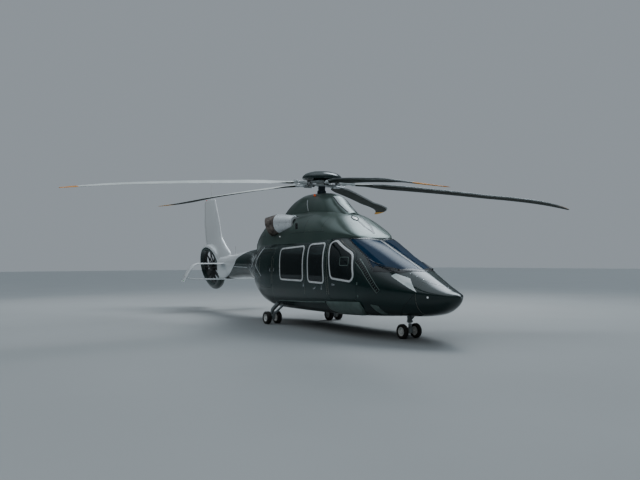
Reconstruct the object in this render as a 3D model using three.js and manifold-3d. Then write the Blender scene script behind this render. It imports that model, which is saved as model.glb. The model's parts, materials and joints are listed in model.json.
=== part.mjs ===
// A medium twin-engined helicopter with a five-bladed main rotor and a canted, ducted tail fan,
// parked on its wheels with its doors shut.
//
// Millimetres. +X points forward, +Y to port and +Z up. Heights in the tables are above the ground,
// and the whole group is lowered at the end so that the origin lies on the underside of the belly
// hard point, straight below the rotor.
import * as THREE from 'three';
import { mergeVertices } from 'three/addons/utils/BufferGeometryUtils.js';
import Module from 'manifold-3d';

const wasm = await Module();
wasm.setup();

const { cos, sin, abs, PI, max, min, sign } = Math;
const rad = (degrees) => degrees * PI / 180;

// Driving dimensions
const HOOK_HEIGHT = 370;            // ground to the underside of the belly hard point
const TOUCH_GAP = 0.3;              // gap between pieces that rest on each other
const WALL = 46;                    // thickness of the cabin wall and of the doors
const GLASS = 10;
const FIXED_GAP = 3;                // gap round a pane or a panel that does not move
const DOOR_GAP = 14;                // gap round a hinged door

const ROTOR_RADIUS = 6700;
const HUB_HEIGHT = 3800;
const ROTOR_TILT = rad(2.9);        // the mast leans forward
const ROTOR_PHASE = rad(-16.9);     // where the first blade is parked, from straight ahead
const BLADE_COUNT = 5;
const BLADE_DROOP = 520;

const FAN_CENTRE = [-7760, 0, 1520];
const FAN_CANT = rad(12);
const FAN_RADIUS = 600;

// Outside of the body. x: station, low/high: belly and roof, wide: height of the widest line,
// half: half-width there, up/down: roundness of the upper and lower halves (2 is an ellipse).
const BODY_COLUMNS = ['x', 'low', 'wide', 'high', 'half', 'up', 'down'];
const BODY_TABLE = [
  [5137, 970, 976, 984, 8, 2.0, 2.0],
  [5060, 872, 984, 1028, 130, 2.0, 2.0],
  [4890, 742, 1000, 1096, 265, 1.9, 2.1],
  [4600, 630, 1025, 1225, 440, 1.9, 2.3],
  [4140, 545, 1060, 1455, 655, 1.9, 2.6],
  [3700, 500, 1080, 1666, 810, 2.0, 2.9],
  [3200, 466, 1095, 1900, 930, 2.15, 3.2],
  [2613, 440, 1105, 2176, 1005, 2.7, 3.4],
  [2200, 424, 1110, 2340, 1035, 3.2, 3.5],
  [1600, 410, 1115, 2430, 1050, 3.5, 3.5],
  [0, 400, 1120, 2450, 1055, 3.6, 3.5],
  [-1100, 400, 1130, 2440, 1050, 3.5, 3.3],
  [-1700, 470, 1180, 2420, 1010, 3.2, 3.0],
  [-2200, 640, 1290, 2370, 915, 2.9, 2.8],
  [-2700, 850, 1400, 2290, 730, 2.4, 2.6],
  [-3200, 1020, 1500, 2200, 530, 2.2, 2.4],
  [-3800, 1150, 1590, 2110, 385, 2.1, 2.2],
  [-4700, 1180, 1590, 2040, 320, 2.1, 2.2],
  [-5600, 1140, 1555, 1965, 275, 2.1, 2.2],
  [-6500, 1100, 1520, 1900, 225, 2.1, 2.2],
];
const BODY = BODY_TABLE.map((row) => Object.fromEntries(BODY_COLUMNS.map((name, i) => [name, row[i]])));

// Where the body is split
const NOSE_JOINT = 4400;
const FRONT_INSIDE = 3950;          // front end of the hollow cabin
const REAR_BULKHEAD = -800;         // rear end of the hollow cabin
const CABIN_END = -860;
const BOOM_JOINT = -3800;
const TAIL_JOINT = -5950;
const BOOM_END = -6500;

const material = (color, roughness, metalness) => new THREE.MeshStandardMaterial({ color, roughness,
  metalness });
const PAINT = { dark: [0x14191a, 0.25, 0.1], silver: [0xb9bec1, 0.35, 0.6], glass: [0x10171c, 0.05, 0],
  rubber: [0x1a1a1a, 0.9, 0], steel: [0x8a8d90, 0.35, 0.9], heat: [0x4a3427, 0.6, 0.7],
  blade: [0x4b5149, 0.5, 0.1], inside: [0x24262a, 0.8, 0], leather: [0x6b5a48, 0.7, 0] };

const group = new THREE.Group();
group.position.z = -HOOK_HEIGHT;

// Solids

function solidOf(geometry) {
  const bare = geometry.clone();
  bare.deleteAttribute('normal');
  bare.deleteAttribute('uv');
  const merged = mergeVertices(bare, 1e-4);
  const vertProperties = new Float32Array(merged.attributes.position.array);
  const triVerts = new Uint32Array(merged.index.array);
  const solid = new wasm.Manifold(new wasm.Mesh({ numProp: 3, vertProperties, triVerts }));
  if (solid.volume() >= 0) return solid;
  for (let i = 0; i < triVerts.length; i += 3) {
    [triVerts[i], triVerts[i + 1]] = [triVerts[i + 1], triVerts[i]];
  }
  return new wasm.Manifold(new wasm.Mesh({ numProp: 3, vertProperties, triVerts }));
}

function geometryOf(solid) {
  const mesh = solid.getMesh();
  const geometry = new THREE.BufferGeometry();
  const points = new Float32Array(mesh.numVert * 3);
  for (let i = 0; i < mesh.numVert; i++) {
    for (let k = 0; k < 3; k++) points[3 * i + k] = mesh.vertProperties[i * mesh.numProp + k];
  }
  geometry.setAttribute('position', new THREE.BufferAttribute(points, 3));
  geometry.setIndex(new THREE.BufferAttribute(new Uint32Array(mesh.triVerts), 1));
  return geometry;
}

function add(name, solid, paint) {
  const mesh = new THREE.Mesh(geometryOf(solid), material(...PAINT[paint]));
  mesh.name = name;
  group.add(mesh);
  return mesh;
}

// A closed skin over rings of equal length; each end is closed by a fan from its middle.
function loft(rings) {
  const n = rings[0].length;
  const points = rings.flat();
  const faces = [];
  for (let r = 0; r + 1 < rings.length; r++) {
    for (let i = 0; i < n; i++) {
      const a = r * n + i;
      const b = r * n + (i + 1) % n;
      faces.push(a, b, a + n, b, b + n, a + n);
    }
  }
  [0, rings.length - 1].forEach((r) => {
    const middle = [0, 1, 2].map((k) => rings[r].reduce((sum, p) => sum + p[k], 0) / n);
    points.push(middle);
    for (let i = 0; i < n; i++) {
      const a = r * n + i;
      const b = r * n + (i + 1) % n;
      faces.push(...(r === 0 ? [points.length - 1, b, a] : [points.length - 1, a, b]));
    }
  });
  const geometry = new THREE.BufferGeometry();
  geometry.setAttribute('position', new THREE.Float32BufferAttribute(points.flat(), 3));
  geometry.setIndex(faces);
  return solidOf(geometry);
}

// An outline with rounded corners, as a list of [a, b] pairs turned into a shape.
function roundedShape(corners, radius) {
  const shape = new THREE.Shape();
  const count = corners.length;
  corners.forEach((corner, i) => {
    const here = new THREE.Vector2(...corner);
    const before = new THREE.Vector2(...corners[(i + count - 1) % count]);
    const after = new THREE.Vector2(...corners[(i + 1) % count]);
    const cut = min(radius, here.distanceTo(before) / 2.1, here.distanceTo(after) / 2.1);
    const enter = here.clone().lerp(before, cut / here.distanceTo(before));
    const leave = here.clone().lerp(after, cut / here.distanceTo(after));
    if (i === 0) shape.moveTo(enter.x, enter.y);
    else shape.lineTo(enter.x, enter.y);
    if (cut > 0) shape.quadraticCurveTo(here.x, here.y, leave.x, leave.y);
  });
  shape.closePath();
  return shape;
}

// Corners moved outwards (or inwards, with a negative margin) along both neighbouring edges.
function grown(corners, margin) {
  const count = corners.length;
  const area = corners.reduce((sum, p, i) => {
    const q = corners[(i + 1) % count];
    return sum + p[0] * q[1] - q[0] * p[1];
  }, 0);
  const side = sign(area);
  const lines = corners.map((p, i) => {
    const q = corners[(i + 1) % count];
    const length = Math.hypot(q[0] - p[0], q[1] - p[1]);
    const normal = [side * (q[1] - p[1]) / length, -side * (q[0] - p[0]) / length];
    return { point: [p[0] + normal[0] * margin, p[1] + normal[1] * margin], run: [q[0] - p[0], q[1] - p[1]] };
  });
  return corners.map((_, i) => {
    const a = lines[(i + count - 1) % count];
    const b = lines[i];
    const cross = a.run[0] * b.run[1] - a.run[1] * b.run[0];
    const along = ((b.point[0] - a.point[0]) * b.run[1] - (b.point[1] - a.point[1]) * b.run[0]) / cross;
    return [a.point[0] + a.run[0] * along, a.point[1] + a.run[1] * along];
  });
}

// A prism with its outline in the X-Z plane, from y = low to y = high.
function sidePrism(corners, radius, low, high, curveSegments = 3) {
  const geometry = new THREE.ExtrudeGeometry(roundedShape(corners, radius),
    { depth: high - low, bevelEnabled: false, curveSegments });
  geometry.applyMatrix4(new THREE.Matrix4().set(1, 0, 0, 0, 0, 0, 1, low, 0, 1, 0, 0, 0, 0, 0, 1));
  return solidOf(geometry);
}

// A prism with its outline in the X-Y plane, from z = low to z = high.
function planPrism(corners, radius, low, high, curveSegments = 3) {
  const geometry = new THREE.ExtrudeGeometry(roundedShape(corners, radius),
    { depth: high - low, bevelEnabled: false, curveSegments });
  geometry.translate(0, 0, low);
  return solidOf(geometry);
}

function box(x0, x1, y0, y1, z0, z1) {
  const geometry = new THREE.BoxGeometry(x1 - x0, y1 - y0, z1 - z0);
  geometry.translate((x0 + x1) / 2, (y0 + y1) / 2, (z0 + z1) / 2);
  return solidOf(geometry);
}

// A round bar between two points, with an optional second radius.
function bar(from, to, radius, endRadius = radius, sides = 10) {
  const a = new THREE.Vector3(...from);
  const b = new THREE.Vector3(...to);
  const geometry = new THREE.CylinderGeometry(endRadius, radius, a.distanceTo(b), sides);
  const along = b.clone().sub(a).normalize();
  geometry.applyQuaternion(new THREE.Quaternion().setFromUnitVectors(new THREE.Vector3(0, 1, 0), along));
  geometry.translate((a.x + b.x) / 2, (a.y + b.y) / 2, (a.z + b.z) / 2);
  return solidOf(geometry);
}

// A lathe about Y; profile is [radius, along] pairs, starting and ending on the axis.
function latheY(profile, x, y, z, sides, turn = 0) {
  const geometry = new THREE.LatheGeometry(profile.map((p) => new THREE.Vector2(...p)), sides);
  geometry.rotateY(turn);
  geometry.translate(x, y, z);
  return solidOf(geometry);
}

function latheZ(profile, x, y, z, sides) {
  const geometry = new THREE.LatheGeometry(profile.map((p) => new THREE.Vector2(...p)), sides);
  geometry.rotateX(PI / 2);
  geometry.translate(x, y, z);
  return solidOf(geometry);
}

const union = (...solids) => solids.reduce((sum, solid) => sum.add(solid));
const mirrored = (solid) => solid.mirror([0, 1, 0]);
const largest = (solid) => solid.decompose().sort((a, b) => b.volume() - a.volume())[0];

function moved(solid, matrix) {
  const geometry = geometryOf(solid);
  geometry.applyMatrix4(matrix);
  return solidOf(geometry);
}

// Body sections

const RING_POINTS = 24;
const HIDDEN_POINTS = 16;           // on the rings of hollows that nobody sees

function bodyAt(x) {
  if (x >= BODY[0].x) return BODY[0];
  const i = min(BODY.findIndex((row, k) => k > 0 && x >= row.x), BODY.length - 1);
  const next = i < 1 ? BODY.length - 1 : i;
  const [a, b] = [BODY[next - 1], BODY[next]];
  const t = (x - a.x) / (b.x - a.x);
  return Object.fromEntries(BODY_COLUMNS.map((name) => [name, a[name] + (b[name] - a[name]) * t]));
}

function ringAt(x, inset = 0, count = RING_POINTS) {
  const row = bodyAt(x);
  return Array.from({ length: count }, (_, i) => {
    const angle = (i + 0.5) / count * 2 * PI;
    const power = 2 / (sin(angle) > 0 ? row.up : row.down);
    const tall = sin(angle) > 0 ? row.high - row.wide : row.wide - row.low;
    const y = sign(cos(angle)) * abs(cos(angle)) ** power * max(row.half - inset, 4);
    const z = row.wide + sign(sin(angle)) * abs(sin(angle)) ** power * max(tall - inset, 4);
    return [x, y, z];
  });
}

function bodySolid(from, to, inset = 0, count = RING_POINTS) {
  const inner = BODY.map((row) => row.x).filter((x) => x < from - 1 && x > to + 1);
  return loft([from, ...inner, to].map((x) => ringAt(x, inset, count)));
}

const outside = bodySolid(5137, BOOM_END);
const slice = (solid, from, to) => solid.intersect(box(to, from, -1500, 1500, 0, 4500));

// Openings in the side of the cabin, drawn from the side as [x, z] corners
const SIDE = {
  crewDoor: [[1740, 2215], [1990, 2245], [2730, 1870], [2915, 1330], [2930, 830], [1935, 815]],
  crewWindow: [[1829, 2123], [1956, 2168], [2624, 1837], [2793, 1351], [2721, 1259], [2014, 1319]],
  slidingDoor: [[740, 2210], [1670, 2215], [1870, 800], [860, 770]],
  slidingWindow: [[931, 2100], [1582, 2118], [1689, 1197], [1020, 1214]],
  rearWindow: [[-500, 2020], [672, 2066], [726, 1232], [-417, 1246]],
  baggageDoor: [[-1840, 1930], [-950, 1960], [-950, 980], [-1700, 980]],
};
const WINDOW_ROUND = 90;
const DOOR_ROUND = 110;
const OUTER_REACH = 1400;
const INNER_REACH = 560;
const sideCut = (corners, radius) => sidePrism(corners, radius, -OUTER_REACH, -INNER_REACH);

const inside = bodySolid(FRONT_INSIDE, REAR_BULKHEAD, WALL);
let shell = slice(outside, NOSE_JOINT - FIXED_GAP, CABIN_END).subtract(inside);
// cabin floor
const FLOOR_TOP = 740;
const floorSlab = box(REAR_BULKHEAD - 20, FRONT_INSIDE - 100, -1200, 1200, FLOOR_TOP - 50, FLOOR_TOP)
  .intersect(bodySolid(FRONT_INSIDE, REAR_BULKHEAD - 20, WALL - 6));
shell = shell.add(floorSlab);

// Windscreen: drawn from above and in front; each half is one pane between posts
const WINDSCREEN = [[2600, -30], [4105, -30], [3850, -480], [3275, -785], [2990, -712], [2389, -704],
  [2240, -680], [2424, -492]];
const SCREEN_ROUND = 40;
const SCREEN_FLOOR = 1300;
const screenCut = planPrism(WINDSCREEN, SCREEN_ROUND, SCREEN_FLOOR, 2600);
const pane = (cut) => cut.intersect(outside).subtract(bodySolid(5137, BOOM_END, GLASS));

const cuts = {
  crewDoor: sideCut(SIDE.crewDoor, DOOR_ROUND),
  slidingDoor: sideCut(SIDE.slidingDoor, DOOR_ROUND),
  rearWindow: sideCut(SIDE.rearWindow, WINDOW_ROUND),
};

const right = {};
right.screen = pane(planPrism(grown(WINDSCREEN, -FIXED_GAP), SCREEN_ROUND, SCREEN_FLOOR, 2600));
right.crewDoor = slice(outside, 3900, CABIN_END).subtract(inside)
  .intersect(sideCut(grown(SIDE.crewDoor, -DOOR_GAP), DOOR_ROUND))
  .subtract(sideCut(SIDE.crewWindow, WINDOW_ROUND));
right.crewGlass = pane(sideCut(grown(SIDE.crewWindow, -FIXED_GAP), WINDOW_ROUND));
right.slidingDoor = slice(outside, 3900, CABIN_END).subtract(inside)
  .intersect(sideCut(grown(SIDE.slidingDoor, -FIXED_GAP - 3), DOOR_ROUND))
  .subtract(sideCut(SIDE.slidingWindow, WINDOW_ROUND));
right.slidingGlass = pane(sideCut(grown(SIDE.slidingWindow, -FIXED_GAP), WINDOW_ROUND));
right.rearGlass = pane(sideCut(grown(SIDE.rearWindow, -FIXED_GAP), WINDOW_ROUND));

for (const cut of [screenCut, ...Object.values(cuts)]) shell = shell.subtract(cut).subtract(mirrored(cut));
add('cabin_shell', shell, 'dark');
add('nose_cone', slice(outside, 5200, NOSE_JOINT), 'dark');
for (const [hand, make] of [['right', (s) => s], ['left', mirrored]]) {
  add(`windscreen_${hand}`, make(right.screen), 'glass');
  add(`crew_door_${hand}`, make(right.crewDoor), 'dark');
  add(`crew_glass_${hand}`, make(right.crewGlass), 'glass');
  add(`sliding_door_${hand}`, make(right.slidingDoor), 'dark');
  add(`sliding_glass_${hand}`, make(right.slidingGlass), 'glass');
  add(`rear_glass_${hand}`, make(right.rearGlass), 'glass');
}

// Upper deck: the engine cowling and, on it, the fairing round the mast. Both are hollow shells over
// the roof. x: station, high: top, foot: height where the section is widest, half: half-width there.
const DECK_COLUMNS = ['x', 'high', 'foot', 'half', 'up'];
const COWLING_TABLE = [
  [2330, 2375, 2290, 560, 2.0],
  [1900, 2640, 2330, 760, 2.0],
  [1430, 2890, 2350, 860, 2.0],
  [900, 3020, 2360, 900, 2.1],
  [0, 3080, 2360, 905, 2.2],
  [-1200, 3080, 2350, 880, 2.2],
  [-1900, 3020, 2320, 800, 2.1],
  [-2500, 2830, 2260, 640, 2.0],
  [-3100, 2480, 2180, 420, 2.0],
  [-3450, 2240, 2120, 240, 2.0],
];
const MAST_FAIRING_TABLE = [
  [1480, 2900, 2700, 300, 2.0],
  [1060, 3190, 2750, 400, 2.1],
  [740, 3420, 2780, 440, 2.3],
  [300, 3520, 2780, 450, 2.4],
  [-500, 3550, 2780, 440, 2.4],
  [-1300, 3530, 2780, 400, 2.3],
  [-1800, 3470, 2770, 320, 2.2],
  [-2100, 3120, 2740, 180, 2.0],
];
const DECK_BOTTOM = 2000;
const DECK_POINTS = 11;
const COWLING_WALL = 40;

// The section is a half superellipse on straight sides that go down to the bottom.
function deckRings(table, bottom, inset = 0) {
  return table.map((values) => {
    const row = Object.fromEntries(DECK_COLUMNS.map((name, i) => [name, values[i]]));
    const arch = Array.from({ length: DECK_POINTS + 1 }, (_, i) => {
      const angle = PI * i / DECK_POINTS;
      const y = sign(cos(angle)) * abs(cos(angle)) ** (2 / row.up) * (row.half - inset);
      const z = row.foot + sin(angle) ** (2 / row.up) * (row.high - row.foot - inset);
      return [row.x, y, z];
    });
    return [...arch, [row.x, -(row.half - inset), bottom], [row.x, row.half - inset, bottom]];
  });
}

const cowlingOuter = loft(deckRings(COWLING_TABLE, DECK_BOTTOM));
const cowlingInner = loft(deckRings(COWLING_TABLE.slice(1, -1), DECK_BOTTOM - 100, COWLING_WALL));
const fairingOuter = loft(deckRings(MAST_FAIRING_TABLE, DECK_BOTTOM + 600));
const fairingInner = loft(deckRings(MAST_FAIRING_TABLE.slice(1, -1), DECK_BOTTOM + 500, COWLING_WALL));
const bodyClear = bodySolid(5137, BOOM_END, -FIXED_GAP);

// Exhausts: on each side a silenced elbow whose open end is turned outwards and a little down.
// Three points on its middle line, each with the radius of the outside there.
const EXHAUST = { front: [-220, -700, 2740], bend: [-930, -850, 2740], rear: [-1120, -1000, 2660],
  frontRadius: 185, bendRadius: 265, rearRadius: 250, wall: 22, depth: 310, sides: 16 };

// The point so many millimetres past the second of two points
const beyond = (from, to, distance) => {
  const run = to.map((v, k) => v - from[k]);
  return to.map((v, k) => v + run[k] * distance / Math.hypot(...run));
};
function exhaustBody(extra) {
  const { front, bend, rear, frontRadius, bendRadius, rearRadius, sides } = EXHAUST;
  const ball = new THREE.SphereGeometry(bendRadius + extra, sides, sides / 2);
  ball.translate(...bend);
  return union(bar(beyond(bend, front, extra), bend, frontRadius + extra, bendRadius + extra, sides),
    solidOf(ball), bar(bend, beyond(bend, rear, extra), bendRadius + extra, rearRadius + extra, sides));
}
const exhaustBore = bar(beyond(EXHAUST.bend, EXHAUST.rear, -EXHAUST.depth),
  beyond(EXHAUST.bend, EXHAUST.rear, 200), EXHAUST.rearRadius - EXHAUST.wall,
  EXHAUST.rearRadius - EXHAUST.wall, EXHAUST.sides);
const exhaust = exhaustBody(0).subtract(exhaustBore);
const exhaustClear = exhaustBody(FIXED_GAP).add(exhaustBore);
const bothExhausts = exhaustClear.add(mirrored(exhaustClear));

// Rotor mast and everything that turns with it, built upright round the hub and then tilted
const MAST = { radius: 95, hole: 150, low: -850 };
const rotorFrame = new THREE.Matrix4().makeRotationY(ROTOR_TILT);
rotorFrame.premultiply(new THREE.Matrix4().makeTranslation(0, 0, HUB_HEIGHT));
const onRotor = (solid) => moved(solid, rotorFrame);
const mastHole = onRotor(bar([0, 0, -1000], [0, 0, 200], MAST.hole, MAST.hole, 16));

const fairing = fairingOuter.subtract(fairingInner).subtract(mastHole)
  .subtract(loft(deckRings(COWLING_TABLE, DECK_BOTTOM, -FIXED_GAP)));
const cowling = cowlingOuter.subtract(cowlingInner).subtract(bodyClear).subtract(bothExhausts)
  .subtract(mastHole);

add('engine_cowling', largest(cowling), 'dark');
add('mast_fairing', largest(fairing), 'dark');
add('exhaust_right', exhaust, 'heat');
add('exhaust_left', mirrored(exhaust), 'heat');

// Gearbox and engines: closed in by the cowling, so plain blocks joined by their shafts
const powerPlant = union(box(-330, 330, -300, 300, 2460, 2920), box(-1450, -520, 100, 370, 2500, 2880),
  box(-1450, -520, -370, -100, 2500, 2880), box(-540, -300, -300, 300, 2640, 2820));
add('power_plant', powerPlant, 'steel');

// Rear body and tail boom
const rearHollow = bodySolid(CABIN_END + 200, BOOM_JOINT + 60, WALL, HIDDEN_POINTS);
const BAGGAGE = SIDE.baggageDoor;
const baggageCut = sideCut(BAGGAGE, DOOR_ROUND);
let rearBody = slice(outside, CABIN_END - FIXED_GAP, BOOM_JOINT).subtract(rearHollow);
const baggageDoor = slice(outside, CABIN_END - FIXED_GAP - 20, BOOM_JOINT).subtract(rearHollow)
  .intersect(sideCut(grown(BAGGAGE, -DOOR_GAP), DOOR_ROUND));
rearBody = rearBody.subtract(baggageCut).subtract(mirrored(baggageCut));
add('rear_body', rearBody, 'dark');
add('baggage_door_right', baggageDoor, 'dark');
add('baggage_door_left', mirrored(baggageDoor), 'dark');

const boomHollow = bodySolid(BOOM_JOINT + 300, TAIL_JOINT + 60, 50, HIDDEN_POINTS);
const BOOM_AERIAL = { x: -5620, low: 1900, high: 2250, chord: 60, thick: 16 };
const boomAerial = box(BOOM_AERIAL.x - BOOM_AERIAL.chord / 2, BOOM_AERIAL.x + BOOM_AERIAL.chord / 2,
  -BOOM_AERIAL.thick / 2, BOOM_AERIAL.thick / 2, BOOM_AERIAL.low, BOOM_AERIAL.high);
const boom = slice(outside, BOOM_JOINT - FIXED_GAP, TAIL_JOINT).add(boomAerial).subtract(boomHollow);
add('tail_boom', boom, 'dark');

// Tail: a canted ring round the fan, the fin above it and the end of the boom, all one shell
const tailFrame = new THREE.Matrix4().makeRotationX(FAN_CANT);
tailFrame.premultiply(new THREE.Matrix4().makeTranslation(...FAN_CENTRE));
const onTail = (solid) => moved(solid, tailFrame);
const SHROUD = { outer: 860, bore: FAN_RADIUS + 12, right: { front: -85, rear: -200 },
  left: { front: 215, rear: 70 } };

// Flat lens along x. Its port face runs inwards to the rear and its starboard face outwards, so the
// starboard mouth of the duct is turned a little forward.
function shroudBody() {
  const count = 28;
  const edge = (radius, reach) => Array.from({ length: count }, (_, i) => {
    const angle = 2 * PI * i / count;
    const x = radius * cos(angle);
    const share = (x + SHROUD.outer) / (2 * SHROUD.outer);
    const { front, rear } = reach < 0 ? SHROUD.right : SHROUD.left;
    return [x, abs(reach) * (rear + (front - rear) * share), radius * sin(angle)];
  });
  return loft([edge(SHROUD.outer - 130, -1), edge(SHROUD.outer - 20, -0.62), edge(SHROUD.outer, -0.2),
    edge(SHROUD.outer, 0.2), edge(SHROUD.outer - 20, 0.62), edge(SHROUD.outer - 130, 1)]);
}
const bore = latheY([[0, -400], [SHROUD.bore + 160, -400], [SHROUD.bore + 110, -200], [SHROUD.bore + 55, -95],
  [SHROUD.bore + 15, -65], [SHROUD.bore, -40], [SHROUD.bore, 80], [SHROUD.bore + 60, 220],
  [SHROUD.bore + 60, 400], [0, 400]], 0, 0, 0, 28);

// Fin sections: z, leading edge, trailing edge, half thickness
const FIN_TABLE = [
  [1500, -6180, -7400, 200],
  [1955, -6060, -8000, 180],
  [2330, -6520, -8330, 150],
  [2610, -6830, -8400, 120],
  [3260, -7095, -8521, 95],
  [4060, -7492, -8500, 60],
];
const FIN_SHARE = [[0, 0], [0.06, 0.55], [0.25, 1], [0.6, 0.72], [1, 0.1]];
function finRing([z, front, rear, half]) {
  const side = FIN_SHARE.map(([along, thick]) => [front + (rear - front) * along, half * thick, z]);
  return [...side, ...side.slice(1).reverse().map(([x, y]) => [x, -y, z])];
}
const fin = loft(FIN_TABLE.map(finRing));
const FIN_AERIAL = { x: -7840, low: 4000, high: 4590, width: 24 };
const finAerial = bar([FIN_AERIAL.x, 0, FIN_AERIAL.low], [FIN_AERIAL.x, 0, FIN_AERIAL.high],
  FIN_AERIAL.width / 2, FIN_AERIAL.width / 4, 8);
const boomTail = bodySolid(TAIL_JOINT - FIXED_GAP, BOOM_END, 0);
const FIN_WALL = 24;
const finHollow = loft(FIN_TABLE.map(([z, front, rear, half], i) => finRing([i === 0 ? z + 60 : min(z, 3980),
  front - 2 * FIN_WALL, rear + 4 * FIN_WALL, half - FIN_WALL])));
const ringClear = onTail(latheY([[0, -260], [SHROUD.bore + 60, -260], [SHROUD.bore + 60, 260], [0, 260]],
  0, 0, 0, 16));
const boomInside = bodySolid(TAIL_JOINT + 200, TAIL_JOINT - 250, 50, HIDDEN_POINTS);
const tailHollow = finHollow.subtract(ringClear).add(boomInside);
const tail = union(fin, finAerial, boomTail, onTail(shroudBody())).subtract(onTail(bore))
  .subtract(tailHollow);
add('tail_fin', largest(tail), 'silver');

// Fan: stator struts and gear case fixed in the bore, and the rotor on the starboard side of it
const FAN = { hub: 175, blades: 10, struts: 10, chord: 110, root: 160, tip: FAN_RADIUS - 8 };
const spoke = (radiusIn, radiusOut, chord, thick, pitch, y) => {
  const geometry = new THREE.BoxGeometry(chord, thick, radiusOut - radiusIn);
  geometry.translate(0, 0, (radiusOut + radiusIn) / 2);
  geometry.rotateZ(pitch);
  geometry.translate(0, y, 0);
  return solidOf(geometry);
};
const around = (solid, count, phase = 0) => union(...Array.from({ length: count }, (_, i) =>
  moved(solid, new THREE.Matrix4().makeRotationY(phase + 2 * PI * i / count))));
const STATOR_Y = 95;
const ROTOR_Y = -30;
const inBore = latheY([[0, 0], [SHROUD.bore - TOUCH_GAP, 0], [SHROUD.bore - TOUCH_GAP, 300], [0, 300]],
  0, 0, 0, 28);
const stator = latheY([[0, 15], [150, 15], [165, 40], [165, 180], [110, 230], [0, 240]], 0, 0, 0, 16)
  .add(around(spoke(120, SHROUD.bore + 10, 60, 16, 0.2, STATOR_Y), FAN.struts, 0.1)).intersect(inBore);
const fanHub = [[0, -110], [70, -100], [140, -60], [FAN.hub - 20, -10], [FAN.hub - 20, 5], [0, 5]];
const fan = latheY(fanHub, 0, 0, 0, 16)
  .add(around(spoke(FAN.root - 40, FAN.tip, FAN.chord, 14, -0.6, ROTOR_Y), FAN.blades));
add('fan_stator', onTail(stator), 'dark');
add('fan_rotor', onTail(fan), 'dark');

// Twin-plane stabiliser: the upper plane turns down at its tips and meets the lower one
const STABILISER = { x: -6200, thick: 34 };
const PLANE_SHAPE = [[0.5, 0], [0.38, 0.42], [0.1, 0.5], [-0.5, 0.06], [-0.5, -0.06], [0.1, -0.5],
  [0.38, -0.42]];
function plate(path, chord, thick) {
  const rings = path.map(([y, z], i) => {
    const before = path[max(i - 1, 0)];
    const after = path[min(i + 1, path.length - 1)];
    const length = Math.hypot(after[0] - before[0], after[1] - before[1]);
    const normal = [-(after[1] - before[1]) / length, (after[0] - before[0]) / length];
    return PLANE_SHAPE.map(([along, across]) => [STABILISER.x + along * chord[i],
      y + normal[0] * across * thick, z + normal[1] * across * thick]);
  });
  return loft(rings);
}
const upperPath = [[-1707, 1030], [-1420, 1500], [-1310, 1610], [-1180, 1640], [1180, 1640],
  [1310, 1610], [1420, 1500], [1707, 1030]];
const upperPlane = plate(upperPath, [260, 330, 360, 380, 380, 360, 330, 260], STABILISER.thick);
const lowerPath = [[-1600, 1175], [-1460, 1130], [0, 1100], [1460, 1130], [1600, 1175]];
const lowerPlane = plate(lowerPath, [230, 300, 330, 300, 230], STABILISER.thick);
const stabiliser = upperPlane.add(lowerPlane).add(box(-6330, -6080, -12, 12, 1100, 1640));
const finClear = FIN_TABLE.map(([z, front, rear, half]) => finRing([z, front + FIXED_GAP, rear,
  half + FIXED_GAP]));
const tailClear = bodySolid(BOOM_JOINT, BOOM_END, -FIXED_GAP).add(loft(finClear));
add('stabiliser', largest(stabiliser.subtract(tailClear)), 'silver');

// Main rotor
const HUB = { radius: 250, low: -70, high: 80, stem: 225, armEnd: 900, armWidth: 150, armHeight: 90 };
const bladeAngle = (k) => ROTOR_PHASE + 2 * PI * k / BLADE_COUNT;
const armAt = (solid, k) => moved(solid, new THREE.Matrix4().makeRotationZ(bladeAngle(k)));
const arm = box(100, HUB.armEnd, -HUB.armWidth / 2, HUB.armWidth / 2, -HUB.armHeight / 2, HUB.armHeight / 2);
const arms = Array.from({ length: BLADE_COUNT }, (_, k) => armAt(arm, k));
const barrel = latheZ([[0, HUB.low], [HUB.radius, HUB.low], [HUB.radius, HUB.high], [0, HUB.high]],
  0, 0, 0, 20);
const hub = union(barrel, ...arms);
const mast = bar([0, 0, MAST.low], [0, 0, HUB.low - TOUCH_GAP], MAST.radius, MAST.radius, 16);
const dome = latheZ([[0, HUB.high + TOUCH_GAP], [HUB.stem, HUB.high + TOUCH_GAP], [HUB.stem, 235], [475, 150],
  [505, 105], [535, 135], [520, 190], [440, 260], [250, 318], [0, 335]], 0, 0, 0, 20);
add('rotor_mast', onRotor(mast), 'steel');
add('rotor_hub', onRotor(hub), 'steel');
add('hub_cap', onRotor(dome), 'dark');

// Blade stations: r along the span, lead: how far the middle of the chord is swept forward
const BLADE_TABLE = [
  [560, 0, 150, 60], [900, 0, 170, 60], [1250, 0, 380, 50], [1500, 0, 430, 46], [4300, 0, 430, 44],
  [5100, 90, 470, 40], [5600, 120, 490, 36], [6050, 40, 430, 30], [6400, -120, 330, 24],
  [6700, -330, 150, 14],
];
const BLADE_SHAPE = [[0.5, 0], [0.34, 0.4], [0.1, 0.5], [-0.5, 0.08], [-0.5, -0.08], [0.1, -0.4],
  [0.34, -0.34]];
const BLADE_START = HUB.armEnd + TOUCH_GAP + 1;
const droopAt = (r) => {
  const share = max(r - 500, 0) / (ROTOR_RADIUS - 500);
  return BLADE_DROOP * (share + share ** 2) / 2;
};
// The rotor turns clockwise from above, so the leading edge faces -Y on a blade that points forward.
function bladeSolid() {
  const rows = BLADE_TABLE.filter(([r]) => r > BLADE_START);
  return loft(rows.map(([r, lead, chord, thick]) => BLADE_SHAPE.map(([along, across]) =>
    [r, -(lead + along * chord), across * thick - droopAt(r)])));
}
const bladeRoot = box(BLADE_START, 1300, -80, 80, -30, 30);
for (let k = 0; k < BLADE_COUNT; k++) {
  add(`main_blade_${k + 1}`, onRotor(armAt(bladeSolid().add(bladeRoot), k)), 'blade');
}

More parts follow.
